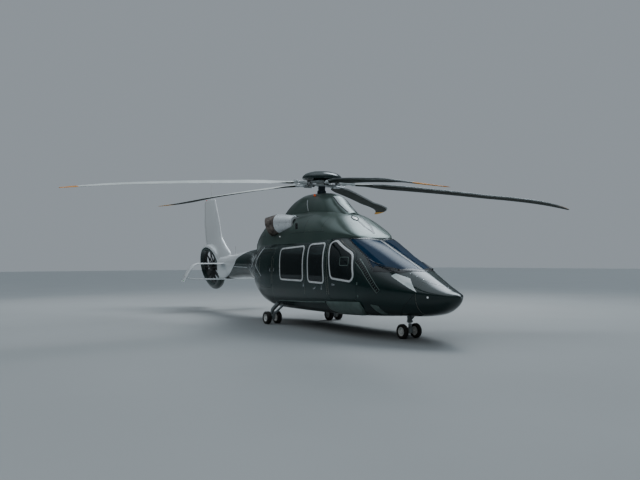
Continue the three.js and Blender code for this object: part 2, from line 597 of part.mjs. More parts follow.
// Landing gear
const NOSE_GEAR = { x: 3560, track: 190, tyre: 160, width: 110, rim: 98, axle: 26, leg: 58 };
const MAIN_GEAR = { x: -975, inner: 850, outer: 1160, tyre: 172, width: 140, rim: 100, axle: 32 };
const WHEEL_SIDES = 16;
// Flats of the faceted tyre, not its corners, lie at the rolling radius, and one flat is down.
const ON_FLAT = 1 / cos(PI / WHEEL_SIDES);
const wheelLathe = (profile, x, y, gear) => latheY(profile.map(([r, along]) => [r * ON_FLAT, along]),
  x, y, gear.tyre, WHEEL_SIDES, PI / WHEEL_SIDES);
const tyreSolid = (x, y, gear) => {
  const half = gear.width / 2;
  const shoulder = gear.tyre - 32;
  return wheelLathe([[gear.rim, -half * 0.85], [shoulder, -half], [gear.tyre, -half * 0.55],
    [gear.tyre, half * 0.55], [shoulder, half], [gear.rim, half * 0.85], [gear.rim, -half * 0.85]],
  x, y, gear);
};
const rimSolid = (x, y, gear) => {
  const half = gear.width / 2;
  const edge = gear.rim - TOUCH_GAP;
  return wheelLathe([[0, -half * 0.45], [edge - 30, -half * 0.45], [edge, -half * 0.8],
    [edge, half * 0.8], [edge - 30, half * 0.45], [0, half * 0.45]], x, y, gear);
};
const wheelSet = (gear, low, high) => union(rimSolid(gear.x, low, gear), rimSolid(gear.x, high, gear),
  bar([gear.x, low, gear.tyre], [gear.x, high, gear.tyre], gear.axle, gear.axle, 12));
const NOSE_Z = NOSE_GEAR.tyre;
const bellyClear = bodySolid(5137, BOOM_END, -TOUCH_GAP);
add('nose_wheels', wheelSet(NOSE_GEAR, -NOSE_GEAR.track, NOSE_GEAR.track), 'steel');
add('nose_tyre_right', tyreSolid(NOSE_GEAR.x, -NOSE_GEAR.track, NOSE_GEAR), 'rubber');
add('nose_tyre_left', tyreSolid(NOSE_GEAR.x, NOSE_GEAR.track, NOSE_GEAR), 'rubber');
const noseAxle = bar([NOSE_GEAR.x, -200, NOSE_Z], [NOSE_GEAR.x, 200, NOSE_Z], NOSE_GEAR.axle + 7,
  NOSE_GEAR.axle + 7, 12);
const noseFork = union(bar([NOSE_GEAR.x + 40, 0, 215], [NOSE_GEAR.x + 30, 0, 330], 40, 40, 16),
  box(NOSE_GEAR.x - 60, NOSE_GEAR.x + 75, -60, 60, 110, 225)).subtract(noseAxle);
add('nose_fork', noseFork, 'steel');
const noseStrut = bar([NOSE_GEAR.x + 30, 0, 340], [NOSE_GEAR.x + 20, 0, 620], NOSE_GEAR.leg,
  NOSE_GEAR.leg, 16);
const noseLeg = noseStrut.add(bar([NOSE_GEAR.x + 40, 0, 400], [NOSE_GEAR.x + 240, 0, 560], 24, 24, 10));
add('nose_leg', largest(noseLeg.subtract(bellyClear)), 'steel');

for (const [hand, side] of [['right', -1], ['left', 1]]) {
  const { x, tyre: z, inner, outer, axle } = MAIN_GEAR;
  const middle = side * (inner + outer) / 2;
  add(`main_wheels_${hand}`, wheelSet(MAIN_GEAR, side * inner, side * outer), 'steel');
  add(`main_tyre_${hand}_outer`, tyreSolid(x, side * outer, MAIN_GEAR), 'rubber');
  add(`main_tyre_${hand}_inner`, tyreSolid(x, side * inner, MAIN_GEAR), 'rubber');
  const leg = union(box(x - 70, x + 90, middle - 50, middle + 50, z - 60, z + 90),
    bar([x, middle, z + 60], [x, middle - side * 5, 400], 50, 50, 12),
    bar([x, middle - side * 5, 380], [x + 120, side * 820, 640], 56, 60, 12),
    bar([x + 40, middle, z + 60], [x + 480, side * 900, 560], 30, 34, 10))
    .subtract(bar([x, -1400, z], [x, 1400, z], axle + 7, axle + 7, 12));
  add(`main_leg_${hand}`, largest(leg.subtract(bellyClear)), 'steel');
}

// Belly hard point: its underside is the origin
const bellyPlate = box(-160, 160, -130, 130, HOOK_HEIGHT, 460).subtract(bellyClear);
add('belly_hard_point', largest(bellyPlate), 'steel');

// Side steps under the crew doors
const STEP_CORNERS = [[1840, 760], [3010, 800], [3060, 640], [2890, 480], [2180, 470], [1900, 560]];
const stepOuter = bodySolid(3900, 1200, -45);
const step = stepOuter.intersect(sideCut(STEP_CORNERS, 30)).subtract(bodyClear);
add('side_step_right', largest(step), 'dark');
add('side_step_left', mirrored(largest(step)), 'dark');

// Inside: instrument panel, pilots' seats and cabin seats
const SEAT_SHAPE = [[-250, 330], [260, 380], [250, 500], [-130, 460], [-260, 1180], [-360, 1180]];
const seat = (x, y, facing, width = 480) => {
  const outline = SEAT_SHAPE.map(([along, height]) => [x + facing * along, FLOOR_TOP + height]);
  return sidePrism(outline, 30, y - width / 2, y + width / 2)
    .add(box(x - 180, x + 180, y - 120, y + 120, FLOOR_TOP + TOUCH_GAP, FLOOR_TOP + 400));
};
const interior = bodySolid(FRONT_INSIDE - 20, REAR_BULKHEAD + 10, WALL + 10);
add('pilot_seat_right', seat(2450, -430, 1), 'leather');
add('pilot_seat_left', seat(2450, 430, 1), 'leather');
add('aft_seats', seat(-350, 0, 1, 1560).intersect(interior), 'leather');
add('forward_seats', seat(1350, 0, -1, 1400).intersect(interior), 'leather');
const panel = sidePrism([[3400, 1130], [3360, 1500], [3430, 1560], [3700, 1480], [3700, 1130]], 20, -620, 620)
  .add(box(3500, 3680, -150, 150, FLOOR_TOP + TOUCH_GAP, 1200));
add('instrument_panel', panel.intersect(interior), 'inside');

export default group;
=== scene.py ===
"""Studio scene of a parked twin-engined helicopter with a ducted tail fan.

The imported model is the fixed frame. Each class below builds one sub-assembly in metres, along the model's own
axes: +X forward, +Y to port and +Z up. Pieces are built with heights above the ground, as the aircraft is
drawn, and publish() lowers each one into the model's frame.
"""
from __future__ import annotations

import json
import logging
import math
from dataclasses import dataclass, field, replace
from enum import Enum
from typing import Iterable, Mapping, Sequence

import bmesh
import bpy
import numpy as np
from mathutils import Matrix, Vector
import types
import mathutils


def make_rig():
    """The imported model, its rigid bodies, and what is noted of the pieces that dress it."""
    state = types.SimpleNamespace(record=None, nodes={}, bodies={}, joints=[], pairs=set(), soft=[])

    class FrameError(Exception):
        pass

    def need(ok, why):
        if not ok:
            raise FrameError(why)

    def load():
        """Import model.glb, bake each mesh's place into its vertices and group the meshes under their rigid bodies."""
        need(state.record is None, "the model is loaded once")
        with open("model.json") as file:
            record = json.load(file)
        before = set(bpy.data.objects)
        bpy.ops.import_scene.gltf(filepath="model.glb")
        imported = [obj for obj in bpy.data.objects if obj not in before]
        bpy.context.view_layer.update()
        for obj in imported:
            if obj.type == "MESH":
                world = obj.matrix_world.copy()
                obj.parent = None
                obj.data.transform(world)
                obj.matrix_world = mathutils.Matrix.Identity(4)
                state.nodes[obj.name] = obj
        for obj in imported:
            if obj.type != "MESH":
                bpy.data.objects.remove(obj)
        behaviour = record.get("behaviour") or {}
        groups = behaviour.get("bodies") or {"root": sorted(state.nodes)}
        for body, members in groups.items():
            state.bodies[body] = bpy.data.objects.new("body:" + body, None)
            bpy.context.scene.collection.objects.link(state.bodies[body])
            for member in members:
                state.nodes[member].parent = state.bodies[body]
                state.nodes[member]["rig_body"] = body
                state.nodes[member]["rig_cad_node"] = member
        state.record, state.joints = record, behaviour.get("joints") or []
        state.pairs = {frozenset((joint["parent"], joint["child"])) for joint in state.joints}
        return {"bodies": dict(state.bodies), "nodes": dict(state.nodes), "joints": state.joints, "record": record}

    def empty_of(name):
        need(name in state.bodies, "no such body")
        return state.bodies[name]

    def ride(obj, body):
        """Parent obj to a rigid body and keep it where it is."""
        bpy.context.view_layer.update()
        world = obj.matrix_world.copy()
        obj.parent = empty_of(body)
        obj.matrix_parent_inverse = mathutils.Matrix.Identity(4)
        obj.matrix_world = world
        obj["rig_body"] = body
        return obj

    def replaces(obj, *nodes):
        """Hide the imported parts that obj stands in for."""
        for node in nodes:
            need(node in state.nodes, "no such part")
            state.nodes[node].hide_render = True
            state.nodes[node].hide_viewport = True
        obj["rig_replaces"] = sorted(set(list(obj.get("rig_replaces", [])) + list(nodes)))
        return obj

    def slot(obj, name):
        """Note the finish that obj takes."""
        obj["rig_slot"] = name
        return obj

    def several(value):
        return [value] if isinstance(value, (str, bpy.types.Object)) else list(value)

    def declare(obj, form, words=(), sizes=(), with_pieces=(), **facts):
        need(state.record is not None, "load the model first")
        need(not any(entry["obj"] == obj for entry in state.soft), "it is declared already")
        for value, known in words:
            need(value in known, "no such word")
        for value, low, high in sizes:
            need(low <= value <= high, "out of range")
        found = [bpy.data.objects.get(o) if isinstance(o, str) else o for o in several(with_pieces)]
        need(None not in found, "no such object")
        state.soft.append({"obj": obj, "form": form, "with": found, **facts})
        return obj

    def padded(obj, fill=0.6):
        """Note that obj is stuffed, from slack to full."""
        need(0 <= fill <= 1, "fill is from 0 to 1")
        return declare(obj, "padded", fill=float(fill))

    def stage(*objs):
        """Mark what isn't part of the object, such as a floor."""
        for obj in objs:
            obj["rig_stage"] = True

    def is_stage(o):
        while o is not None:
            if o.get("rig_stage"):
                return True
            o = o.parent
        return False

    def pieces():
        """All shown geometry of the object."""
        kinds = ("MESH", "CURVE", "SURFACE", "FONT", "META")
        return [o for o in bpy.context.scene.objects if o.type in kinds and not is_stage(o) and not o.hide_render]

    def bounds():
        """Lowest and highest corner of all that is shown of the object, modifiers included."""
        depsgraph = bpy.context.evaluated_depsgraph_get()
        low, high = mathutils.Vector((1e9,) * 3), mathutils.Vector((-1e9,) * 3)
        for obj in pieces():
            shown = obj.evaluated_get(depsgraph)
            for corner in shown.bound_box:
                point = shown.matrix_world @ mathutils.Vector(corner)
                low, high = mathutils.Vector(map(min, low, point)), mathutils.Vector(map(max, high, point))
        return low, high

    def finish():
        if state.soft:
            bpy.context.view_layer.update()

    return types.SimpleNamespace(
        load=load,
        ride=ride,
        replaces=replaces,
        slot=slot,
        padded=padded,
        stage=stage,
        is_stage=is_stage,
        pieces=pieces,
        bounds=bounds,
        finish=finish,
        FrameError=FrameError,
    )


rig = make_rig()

LOG = logging.getLogger("helicopter")
Corners = Sequence[tuple[float, float]]
Point = Sequence[float]
Path = tuple[np.ndarray, np.ndarray, bool]   # points, outward directions, and True if it closes
Item = bpy.types.Object
Tree = bpy.types.NodeTree
Socket = bpy.types.NodeSocket
Sockets = bpy.types.bpy_prop_collection

GROUND = -0.370        # the ground's height in the model's frame
HUB_HEIGHT = 3.80      # heights from here on are above the ground
ROTOR_TILT = math.radians(2.9)
ROTOR_PHASE = math.radians(-16.9)
ROTOR_RADIUS = 6.70
BLADE_COUNT = 5
BLADE_DROOP = 0.52     # how far the tip of a blade hangs down at rest
FAN_CENTRE = Vector((-7.76, 0.0, 1.52))
FAN_CANT = math.radians(12)
FAN_RADIUS = 0.60
WALL = 0.046           # depth of the inside of the walls below the skin
GLASS = 0.010          # depth of the inside of the glass
SIDES = {"right": 1.0, "left": -1.0}


# Mesh tools


class Join(Enum):
    """How a tool solid acts on another solid."""

    ADD = "UNION"
    CUT = "DIFFERENCE"
    KEEP = "INTERSECT"


class Facing(Enum):
    """The direction in which an outline is drawn and then pushed through."""

    SIDE = "side"
    PLAN = "plan"


def object_from(points: Iterable, faces: Iterable, name: str = "part") -> Item:
    """Makes a linked mesh object from points and faces."""
    mesh = bpy.data.meshes.new(name)
    mesh.from_pydata([tuple(map(float, p)) for p in points], [], [tuple(map(int, f)) for f in faces])
    mesh.validate()
    return linked(mesh)


def linked(data: bpy.types.ID) -> Item:
    """Makes an object of a mesh, a light or a camera, and puts it in the scene."""
    item = bpy.data.objects.new(data.name, data)
    bpy.context.scene.collection.objects.link(item)
    return item


def loft(rings: np.ndarray, closed: bool = False) -> Item:
    """Skins rings of equal length.

    Args:
        rings: Array of shape (ring, point, 3).
        closed: True joins the last ring to the first, and leaves no caps.

    Returns:
        The closed mesh object, with its faces pointing out.
    """
    count, size, _ = rings.shape
    spans = count if closed else count - 1
    faces = []
    for r in range(spans):
        a, b = r * size, (r + 1) % count * size
        faces += [(a + i, a + (i + 1) % size, b + (i + 1) % size, b + i) for i in range(size)]
    if not closed:
        faces.append(tuple(reversed(range(size))))
        faces.append(tuple(range((count - 1) * size, count * size)))
    return face_out(object_from(rings.reshape(-1, 3), faces))


def face_out(item: Item) -> Item:
    """Turns all faces of a closed mesh outwards."""
    edit = bmesh.new()
    edit.from_mesh(item.data)
    bmesh.ops.recalc_face_normals(edit, faces=edit.faces)
    if edit.calc_volume(signed=True) < 0:
        bmesh.ops.reverse_faces(edit, faces=edit.faces)
    edit.to_mesh(item.data)
    edit.free()
    return item


def evaluated(item: Item) -> Item:
    """Applies an object's modifiers and returns it."""
    graph = bpy.context.evaluated_depsgraph_get()
    mesh = bpy.data.meshes.new_from_object(item.evaluated_get(graph), depsgraph=graph)
    old = item.data
    item.modifiers.clear()
    item.data = mesh
    bpy.data.meshes.remove(old)
    return item


def discard(*items: Item) -> None:
    """Removes objects and their meshes."""
    for item in items:
        mesh = item.data
        bpy.data.objects.remove(item)
        if mesh.users == 0:
            bpy.data.meshes.remove(mesh)


def combine(item: Item, tool: Item, how: Join, keep: bool = False) -> Item:
    """Joins a tool solid to an item, cuts it away or keeps what they share.

    Args:
        item: The solid that changes.
        tool: The solid that acts on it.
        how: What is done.
        keep: True leaves the tool in the scene for another use.

    Returns:
        The changed item.
    """
    change = item.modifiers.new("combine", "BOOLEAN")
    change.operation = how.value
    change.solver = "MANIFOLD"
    change.object = tool
    evaluated(item)
    if not keep:
        discard(tool)
    return item


def copied(item: Item) -> Item:
    """Makes a linked copy with a mesh of its own."""
    return linked(item.data.copy())


def moved(item: Item, matrix: Matrix) -> Item:
    """Moves an object's mesh, and turns its faces back out if the matrix mirrors it."""
    item.data.transform(matrix)
    if matrix.determinant() < 0:
        item.data.flip_normals()
    return item


def mirrored(item: Item) -> Item:
    """Copies a starboard piece to port."""
    return moved(copied(item), Matrix.Scale(-1, 4, (0, 1, 0)))


def cut_both(item: Item, tool: Item) -> None:
    """Cuts a starboard tool and its mirror image out of an item. The tool is used up."""
    combine(item, mirrored(tool), Join.CUT)
    combine(item, tool, Join.CUT)


def merged(items: Sequence[Item]) -> Item:
    """Puts several meshes in one object, each closed solid as it is."""
    edit = bmesh.new()
    for item in items:
        edit.from_mesh(item.data)
    mesh = bpy.data.meshes.new("part")
    edit.to_mesh(mesh)
    edit.free()
    discard(*items)
    return linked(mesh)


def rounded(corners: Corners, radius: float, steps: int = 8) -> list[tuple[float, float]]:
    """Rounds the corners of an outline.

    Args:
        corners: The outline's corners, in order.
        radius: Distance from each corner at which its curve starts.
        steps: Number of chords in a corner.

    Returns:
        The points of the rounded outline.
    """
    points = []
    count = len(corners)
    for i, corner in enumerate(corners):
        here = Vector(corner)
        before, after = Vector(corners[i - 1]), Vector(corners[(i + 1) % count])
        cut = min(radius, (here - before).length / 2.1, (here - after).length / 2.1)
        enter = here.lerp(before, cut / (here - before).length)
        leave = here.lerp(after, cut / (here - after).length)
        for k in range(steps + 1):
            t = k / steps
            point = enter * (1 - t) ** 2 + here * 2 * t * (1 - t) + leave * t ** 2
            points.append((point.x, point.y))
    return points


def grown(corners: Corners, margin: float) -> list[tuple[float, float]]:
    """Moves every edge of an outline outwards by a margin, or inwards if it is negative."""
    count = len(corners)
    area = sum(p[0] * q[1] - q[0] * p[1] for p, q in zip(corners, [*corners[1:], corners[0]]))
    side = math.copysign(1, area)
    lines = []
    for i, corner in enumerate(corners):
        p, q = Vector(corner), Vector(corners[(i + 1) % count])
        run = q - p
        normal = Vector((run.y, -run.x)).normalized() * side
        lines.append((p + normal * margin, run))
    result = []
    for i in range(count):
        (p, u), (q, v) = lines[i - 1], lines[i]
        cross = u.x * v.y - u.y * v.x
        along = ((q.x - p.x) * v.y - (q.y - p.y) * v.x) / cross
        result.append(tuple(p + u * along))
    return result


def prism(outline: Corners, low: float, high: float, facing: Facing) -> Item:
    """Pushes an outline through along the axis that it faces."""
    if facing is Facing.SIDE:
        return loft(np.array([[(a, c, b) for a, b in outline] for c in (low, high)]))
    return loft(np.array([[(a, b, c) for a, b in outline] for c in (low, high)]))


def block(low: Point, high: Point, soft: float = 0.0, steps: int = 2) -> Item:
    """A box between two corners, with its edges rounded where soft is not 0."""
    outline = [(low[0], low[1]), (high[0], low[1]), (high[0], high[1]), (low[0], high[1])]
    item = prism(outline, low[2], high[2], Facing.PLAN)
    return softened(item, soft, steps) if soft else item


def softened(item: Item, width: float, steps: int = 2) -> Item:
    """Rounds the sharp edges of an object."""
    bevel = item.modifiers.new("soft", "BEVEL")
    bevel.width = width
    bevel.segments = steps
    bevel.limit_method = "ANGLE"
    bevel.angle_limit = math.radians(40)
    bevel.use_clamp_overlap = True
    return evaluated(item)


def full_turn(count: int) -> np.ndarray:
    """Angles evenly round a circle."""
    return np.linspace(0, 2 * math.pi, count, endpoint=False)


def lathe(profile: Corners, sides: int = 48, close: bool = False) -> Item:
    """Turns a profile of (radius, height) pairs about Z.

    Args:
        profile: Pairs from one end on the axis to the other, or a closed loop off the axis.
        sides: Number of sides.
        close: True for a loop, such as a tyre.

    Returns:
        The closed solid, standing on Z at the origin.
    """
    rings = np.array([[(max(r, 1e-5) * math.cos(a), max(r, 1e-5) * math.sin(a), h) for a in full_turn(sides)]
                      for r, h in profile])
    return face_out(weld(loft(rings, closed=close), 1e-4))


def weld(item: Item, reach: float) -> Item:
    """Merges points that lie closer than reach."""
    edit = bmesh.new()
    edit.from_mesh(item.data)
    bmesh.ops.remove_doubles(edit, verts=edit.verts, dist=reach)
    bmesh.ops.dissolve_degenerate(edit, edges=edit.edges, dist=reach / 10)
    edit.to_mesh(item.data)
    edit.free()
    return item


def pointed(axis: Point, at: Point = (0, 0, 0)) -> Matrix:
    """A matrix that turns +Z onto an axis and moves the origin to a point."""
    turn = Vector((0, 0, 1)).rotation_difference(Vector(axis).normalized()).to_matrix().to_4x4()
    return Matrix.Translation(Vector(at)) @ turn


def bar(start: Point, end: Point, radius: float, end_radius: float | None = None, sides: int = 24) -> Item:
    """A round bar between two points, with slightly rounded ends."""
    a, b = Vector(start), Vector(end)
    long = (b - a).length
    last = radius if end_radius is None else end_radius
    lip = min(radius, last, long / 2) * 0.12
    profile = [(0, 0), (radius - lip, 0), (radius, lip), (last, long - lip), (last - lip, long), (0, long)]
    return moved(lathe(profile, sides), pointed(b - a, a))


def tube(path: Sequence[Point], radius: float, sides: int = 10) -> Item:
    """A round rod along a smooth path."""
    points = [Vector(p) for p in path]
    rings = []
    normal = None
    for i, point in enumerate(points):
        run = (points[min(i + 1, len(points) - 1)] - points[max(i - 1, 0)]).normalized()
        if normal is None:
            normal = run.orthogonal().normalized()
        normal = (normal - run * normal.dot(run)).normalized()
        side = run.cross(normal)
        rings.append([point + (normal * math.cos(a) + side * math.sin(a)) * radius for a in full_turn(sides)])
    return loft(np.array(rings))


def eased(xs: np.ndarray, ys: np.ndarray, at: np.ndarray) -> np.ndarray:
    """Monotone cubic interpolation, which keeps a profile fair between its stations.

    Args:
        xs: Stations, rising.
        ys: Values at the stations.
        at: Where the values are wanted.

    Returns:
        The values, one for each place in at.
    """
    gap = np.diff(xs)
    rise = np.diff(ys) / gap
    slope = np.concatenate([[rise[0]], np.zeros(len(xs) - 2), [rise[-1]]])
    for i in range(1, len(xs) - 1):
        if rise[i - 1] * rise[i] > 0:
            w0, w1 = 2 * gap[i] + gap[i - 1], gap[i] + 2 * gap[i - 1]
            slope[i] = (w0 + w1) / (w0 / rise[i - 1] + w1 / rise[i])
    k = np.clip(np.searchsorted(xs, at) - 1, 0, len(xs) - 2)
    t = np.clip((at - xs[k]) / gap[k], 0, 1)
    return ((1 + 2 * t) * (1 - t) ** 2 * ys[k] + t * (1 - t) ** 2 * gap[k] * slope[k]
            + t ** 2 * (3 - 2 * t) * ys[k + 1] + t ** 2 * (t - 1) * gap[k] * slope[k + 1])


def lengths(data: np.ndarray) -> np.ndarray:
    """Distance along a path at each of its points."""
    return np.concatenate([[0], np.cumsum(np.linalg.norm(np.diff(data, axis=0), axis=1))])


def squared(value: np.ndarray | float, power: float) -> np.ndarray:
    """Raises a sine or cosine to a power and keeps its sign, which squares off a circle."""
    return np.sign(value) * np.abs(value) ** power


def curve_through(points: Sequence[Point], steps: int = 40) -> np.ndarray:
    """A smooth curve through points of any dimension, even along its length."""
    data = np.array(points, float)
    length = lengths(data)
    at = np.linspace(0, length[-1], steps)
    return np.column_stack([eased(length, data[:, k], at) for k in range(data.shape[1])])


# Finishes


def linear(code: str) -> tuple[float, float, float, float]:
    """Turns an sRGB hex colour into linear RGBA."""
    parts = [int(code[i:i + 2], 16) / 255 for i in (1, 3, 5)]
    return tuple(c / 12.92 if c <= 0.04045 else ((c + 0.055) / 1.055) ** 2.4 for c in parts) + (1.0,)


def node(tree: Tree, kind: str, inputs: Mapping[str | int, object] | None = None,
         **settings: object) -> bpy.types.Node:
    """Adds a node with its settings, values and links.

    Args:
        tree: The tree of a material, the world or a modifier.
        kind: The node's type.
        inputs: For each input, by name or number, its value or the output that feeds it.
        settings: The node's own attributes.

    Returns:
        The node.
    """
    made = tree.nodes.new(kind)
    for name, value in settings.items():
        setattr(made, name, value)
    for key, value in (inputs or {}).items():
        if isinstance(value, Socket):
            tree.links.new(value, made.inputs[key])
        else:
            made.inputs[key].default_value = value
    return made


def per_metre(size_mm: float) -> float:
    """The noise scale that gives marks of a size in millimetres."""
    return 1000 / size_mm


@dataclass(frozen=True)
class Finish:
    """A painted, moulded or cast surface, described by what is seen on the real one.

    The colour wanders between two near tones, the gloss is broken by handling, and the relief is the texture
    left by the way it was made. Sizes are in millimetres on the aircraft.
    """

    name: str
    slot: str
    colour: str
    drift: str
    roughness: float
    smear: float = 0.06
    metallic: float = 0.0
    coat: float = 0.0
    drift_mm: float = 700.0
    grain_mm: float = 12.0
    relief_mm: float = 0.03
    wave_mm: float = 0.0
    dust: float = 0.0
    chips: str = ""
    chip_mm: float = 60.0
    chip_share: float = 0.32
    mirror: float = 0.5

    def material(self) -> bpy.types.Material:
        """Returns the material, made on its first use."""
        return bpy.data.materials.get(self.name) or self.made()

    def made(self) -> bpy.types.Material:
        """Builds the node tree."""
        material = bpy.data.materials.new(self.name)
        material.use_nodes = True
        tree = material.node_tree
        shader = tree.nodes["Principled BSDF"]
        shader.inputs["Metallic"].default_value = self.metallic
        shader.inputs["Coat Weight"].default_value = self.coat
        shader.inputs["Specular IOR Level"].default_value = self.mirror
        place = node(tree, "ShaderNodeTexCoord").outputs
        tree.links.new(self.colours(tree, place), shader.inputs["Base Color"])
        tree.links.new(self.gloss(tree, place), shader.inputs["Roughness"])
        tree.links.new(self.relief(tree, place), shader.inputs["Normal"])
        self.extra(tree, shader, place)
        return material

    def colours(self, tree: Tree, place: Sockets) -> Socket:
        """The base colour: two tones, then chips, then dust on what faces up."""
        patches = node(tree, "ShaderNodeTexNoise", {"Vector": place["Object"], "Detail": 3.0,
                                                    "Scale": per_metre(self.drift_mm)})
        share = node(tree, "ShaderNodeMapRange", {"Value": patches.outputs["Fac"], "From Min": 0.32,
                                                  "From Max": 0.68}, interpolation_type="SMOOTHSTEP")
        colour = node(tree, "ShaderNodeMix", {0: share.outputs["Result"], 6: linear(self.colour),
                                              7: linear(self.drift)}, data_type="RGBA").outputs[2]
        if self.chips:
            spots = node(tree, "ShaderNodeTexNoise", {"Vector": place["Object"], "Detail": 9.0, "Roughness": 0.75,
                                                      "Scale": per_metre(self.chip_mm)})
            bare = node(tree, "ShaderNodeMapRange", {"Value": spots.outputs["Fac"], "From Min": self.chip_share,
                                                     "From Max": self.chip_share - 0.03})
            colour = node(tree, "ShaderNodeMix", {0: bare.outputs["Result"], 6: colour, 7: linear(self.chips)},
                          data_type="RGBA").outputs[2]
        if self.dust:
            up = node(tree, "ShaderNodeSeparateXYZ", {"Vector": place["Normal"]})
            film = node(tree, "ShaderNodeMapRange", {"Value": up.outputs["Z"], "From Min": 0.1, "To Max": self.dust})
            colour = node(tree, "ShaderNodeMix", {0: film.outputs["Result"], 6: colour, 7: linear("#8f8b80")},
                          data_type="RGBA").outputs[2]
        return colour

    def gloss(self, tree: Tree, place: Sockets) -> Socket:
        """Roughness, higher in wiped and handled patches."""
        hands = node(tree, "ShaderNodeTexNoise", {"Vector": place["Object"], "Detail": 6.0, "Roughness": 0.6,
                                                  "Scale": per_metre(self.drift_mm / 3)})
        return node(tree, "ShaderNodeMapRange", {"Value": hands.outputs["Fac"], "From Min": 0.35, "From Max": 0.75,
                                                 "To Min": self.roughness, "To Max": self.roughness + self.smear}
                    ).outputs["Result"]

    def relief(self, tree: Tree, place: Sockets) -> Socket:
        """The fine texture, and under it the slow waves of a laid-up or pressed skin."""
        grain = node(tree, "ShaderNodeTexNoise", {"Vector": place["Object"], "Detail": 2.0,
                                                  "Scale": per_metre(self.grain_mm)})
        bump = node(tree, "ShaderNodeBump", {"Height": grain.outputs["Fac"], "Distance": self.relief_mm / 1000})
        if self.wave_mm:
            waves = node(tree, "ShaderNodeTexNoise", {"Vector": place["Object"], "Detail": 1.0,
                                                      "Scale": per_metre(self.wave_mm)})
            slow = node(tree, "ShaderNodeBump", {"Height": waves.outputs["Fac"], "Distance": self.wave_mm / 4e5})
            tree.links.new(slow.outputs["Normal"], bump.inputs["Normal"])
        return bump.outputs["Normal"]

    def extra(self, tree: Tree, shader: bpy.types.Node, place: Sockets) -> None:
        """A place for what a special finish adds."""


@dataclass(frozen=True)
class Glazing(Finish):
    """Stretched acrylic, tinted in the mass: glossy, and dark because little light comes back out."""

    passes: float = 0.8

    def extra(self, tree: Tree, shader: bpy.types.Node, place: Sockets) -> None:
        """Lets part of the light through. Acrylic bends light a little less than window glass."""
        shader.inputs["Transmission Weight"].default_value = self.passes
        shader.inputs["IOR"].default_value = 1.49


@dataclass(frozen=True)
class TwoTone(Finish):
    """Two paints that meet along a drawn curve: the second lies above it, but not on the lip round the fan."""

    second: str = "#e6ebed"
    second_drift: str = "#d9dfe2"
    second_metallic: float = 0.25
    curve: tuple[tuple[float, float], ...] = ()
    x_range: tuple[float, float] = (-9.0, -3.0)
    z_range: tuple[float, float] = (0.0, 3.0)
    eye: float = 0.765

    def mask(self, tree: Tree, place: Sockets) -> Socket:
        """1 above the curve and 0 below it and round the fan, with the soft edge of a masked paint line."""
        parts = node(tree, "ShaderNodeSeparateXYZ", {"Vector": place["Object"]})
        (x0, x1), (z0, z1) = self.x_range, self.z_range
        along = node(tree, "ShaderNodeMapRange", {"Value": parts.outputs["X"], "From Min": x0, "From Max": x1})
        line = node(tree, "ShaderNodeFloatCurve", {"Value": along.outputs["Result"]})
        drawn = line.mapping.curves[0]
        for k, (x, z) in enumerate(self.curve):
            spot = ((x - x0) / (x1 - x0), (z + GROUND - z0) / (z1 - z0))
            if k < 2:
                drawn.points[k].location = spot
            else:
                drawn.points.new(*spot)
        line.mapping.update()
        height = node(tree, "ShaderNodeMapRange", {"Value": parts.outputs["Z"], "From Min": z0, "From Max": z1})
        gap = node(tree, "ShaderNodeMath", {0: height.outputs["Result"], 1: line.outputs["Value"]},
                   operation="SUBTRACT")
        above = node(tree, "ShaderNodeMapRange", {"Value": gap.outputs["Value"], "From Min": -0.001,
                                                  "From Max": 0.001})
        centred = node(tree, "ShaderNodeMapping", {
            "Vector": place["Object"], "Location": FAN_CENTRE + Vector((0, 0, GROUND)), "Rotation": (FAN_CANT, 0, 0),
            "Scale": (1, 1000, 1)}, vector_type="TEXTURE")
        far = node(tree, "ShaderNodeVectorMath", {0: centred.outputs["Vector"]}, operation="LENGTH")
        outside = node(tree, "ShaderNodeMapRange", {"Value": far.outputs["Value"], "From Min": self.eye - 0.002,
                                                    "From Max": self.eye})
        return node(tree, "ShaderNodeMath", {0: above.outputs["Result"], 1: outside.outputs["Result"]},
                    operation="MULTIPLY").outputs["Value"]

    def colours(self, tree: Tree, place: Sockets) -> Socket:
        """Both paints, split along the curve."""
        patches = node(tree, "ShaderNodeTexNoise", {"Vector": place["Object"], "Detail": 3.0,
                                                    "Scale": per_metre(self.drift_mm)})
        upper = node(tree, "ShaderNodeMix", {0: patches.outputs["Fac"], 6: linear(self.second),
                                             7: linear(self.second_drift)}, data_type="RGBA")
        return node(tree, "ShaderNodeMix", {0: self.mask(tree, place), 6: super().colours(tree, place),
                                            7: upper.outputs[2]}, data_type="RGBA").outputs[2]

    def extra(self, tree: Tree, shader: bpy.types.Node, place: Sockets) -> None:
        """Only the second paint has flakes of metal."""
        flakes = node(tree, "ShaderNodeMath", {0: self.mask(tree, place), 1: self.second_metallic},
                      operation="MULTIPLY")
        tree.links.new(flakes.outputs["Value"], shader.inputs["Metallic"])


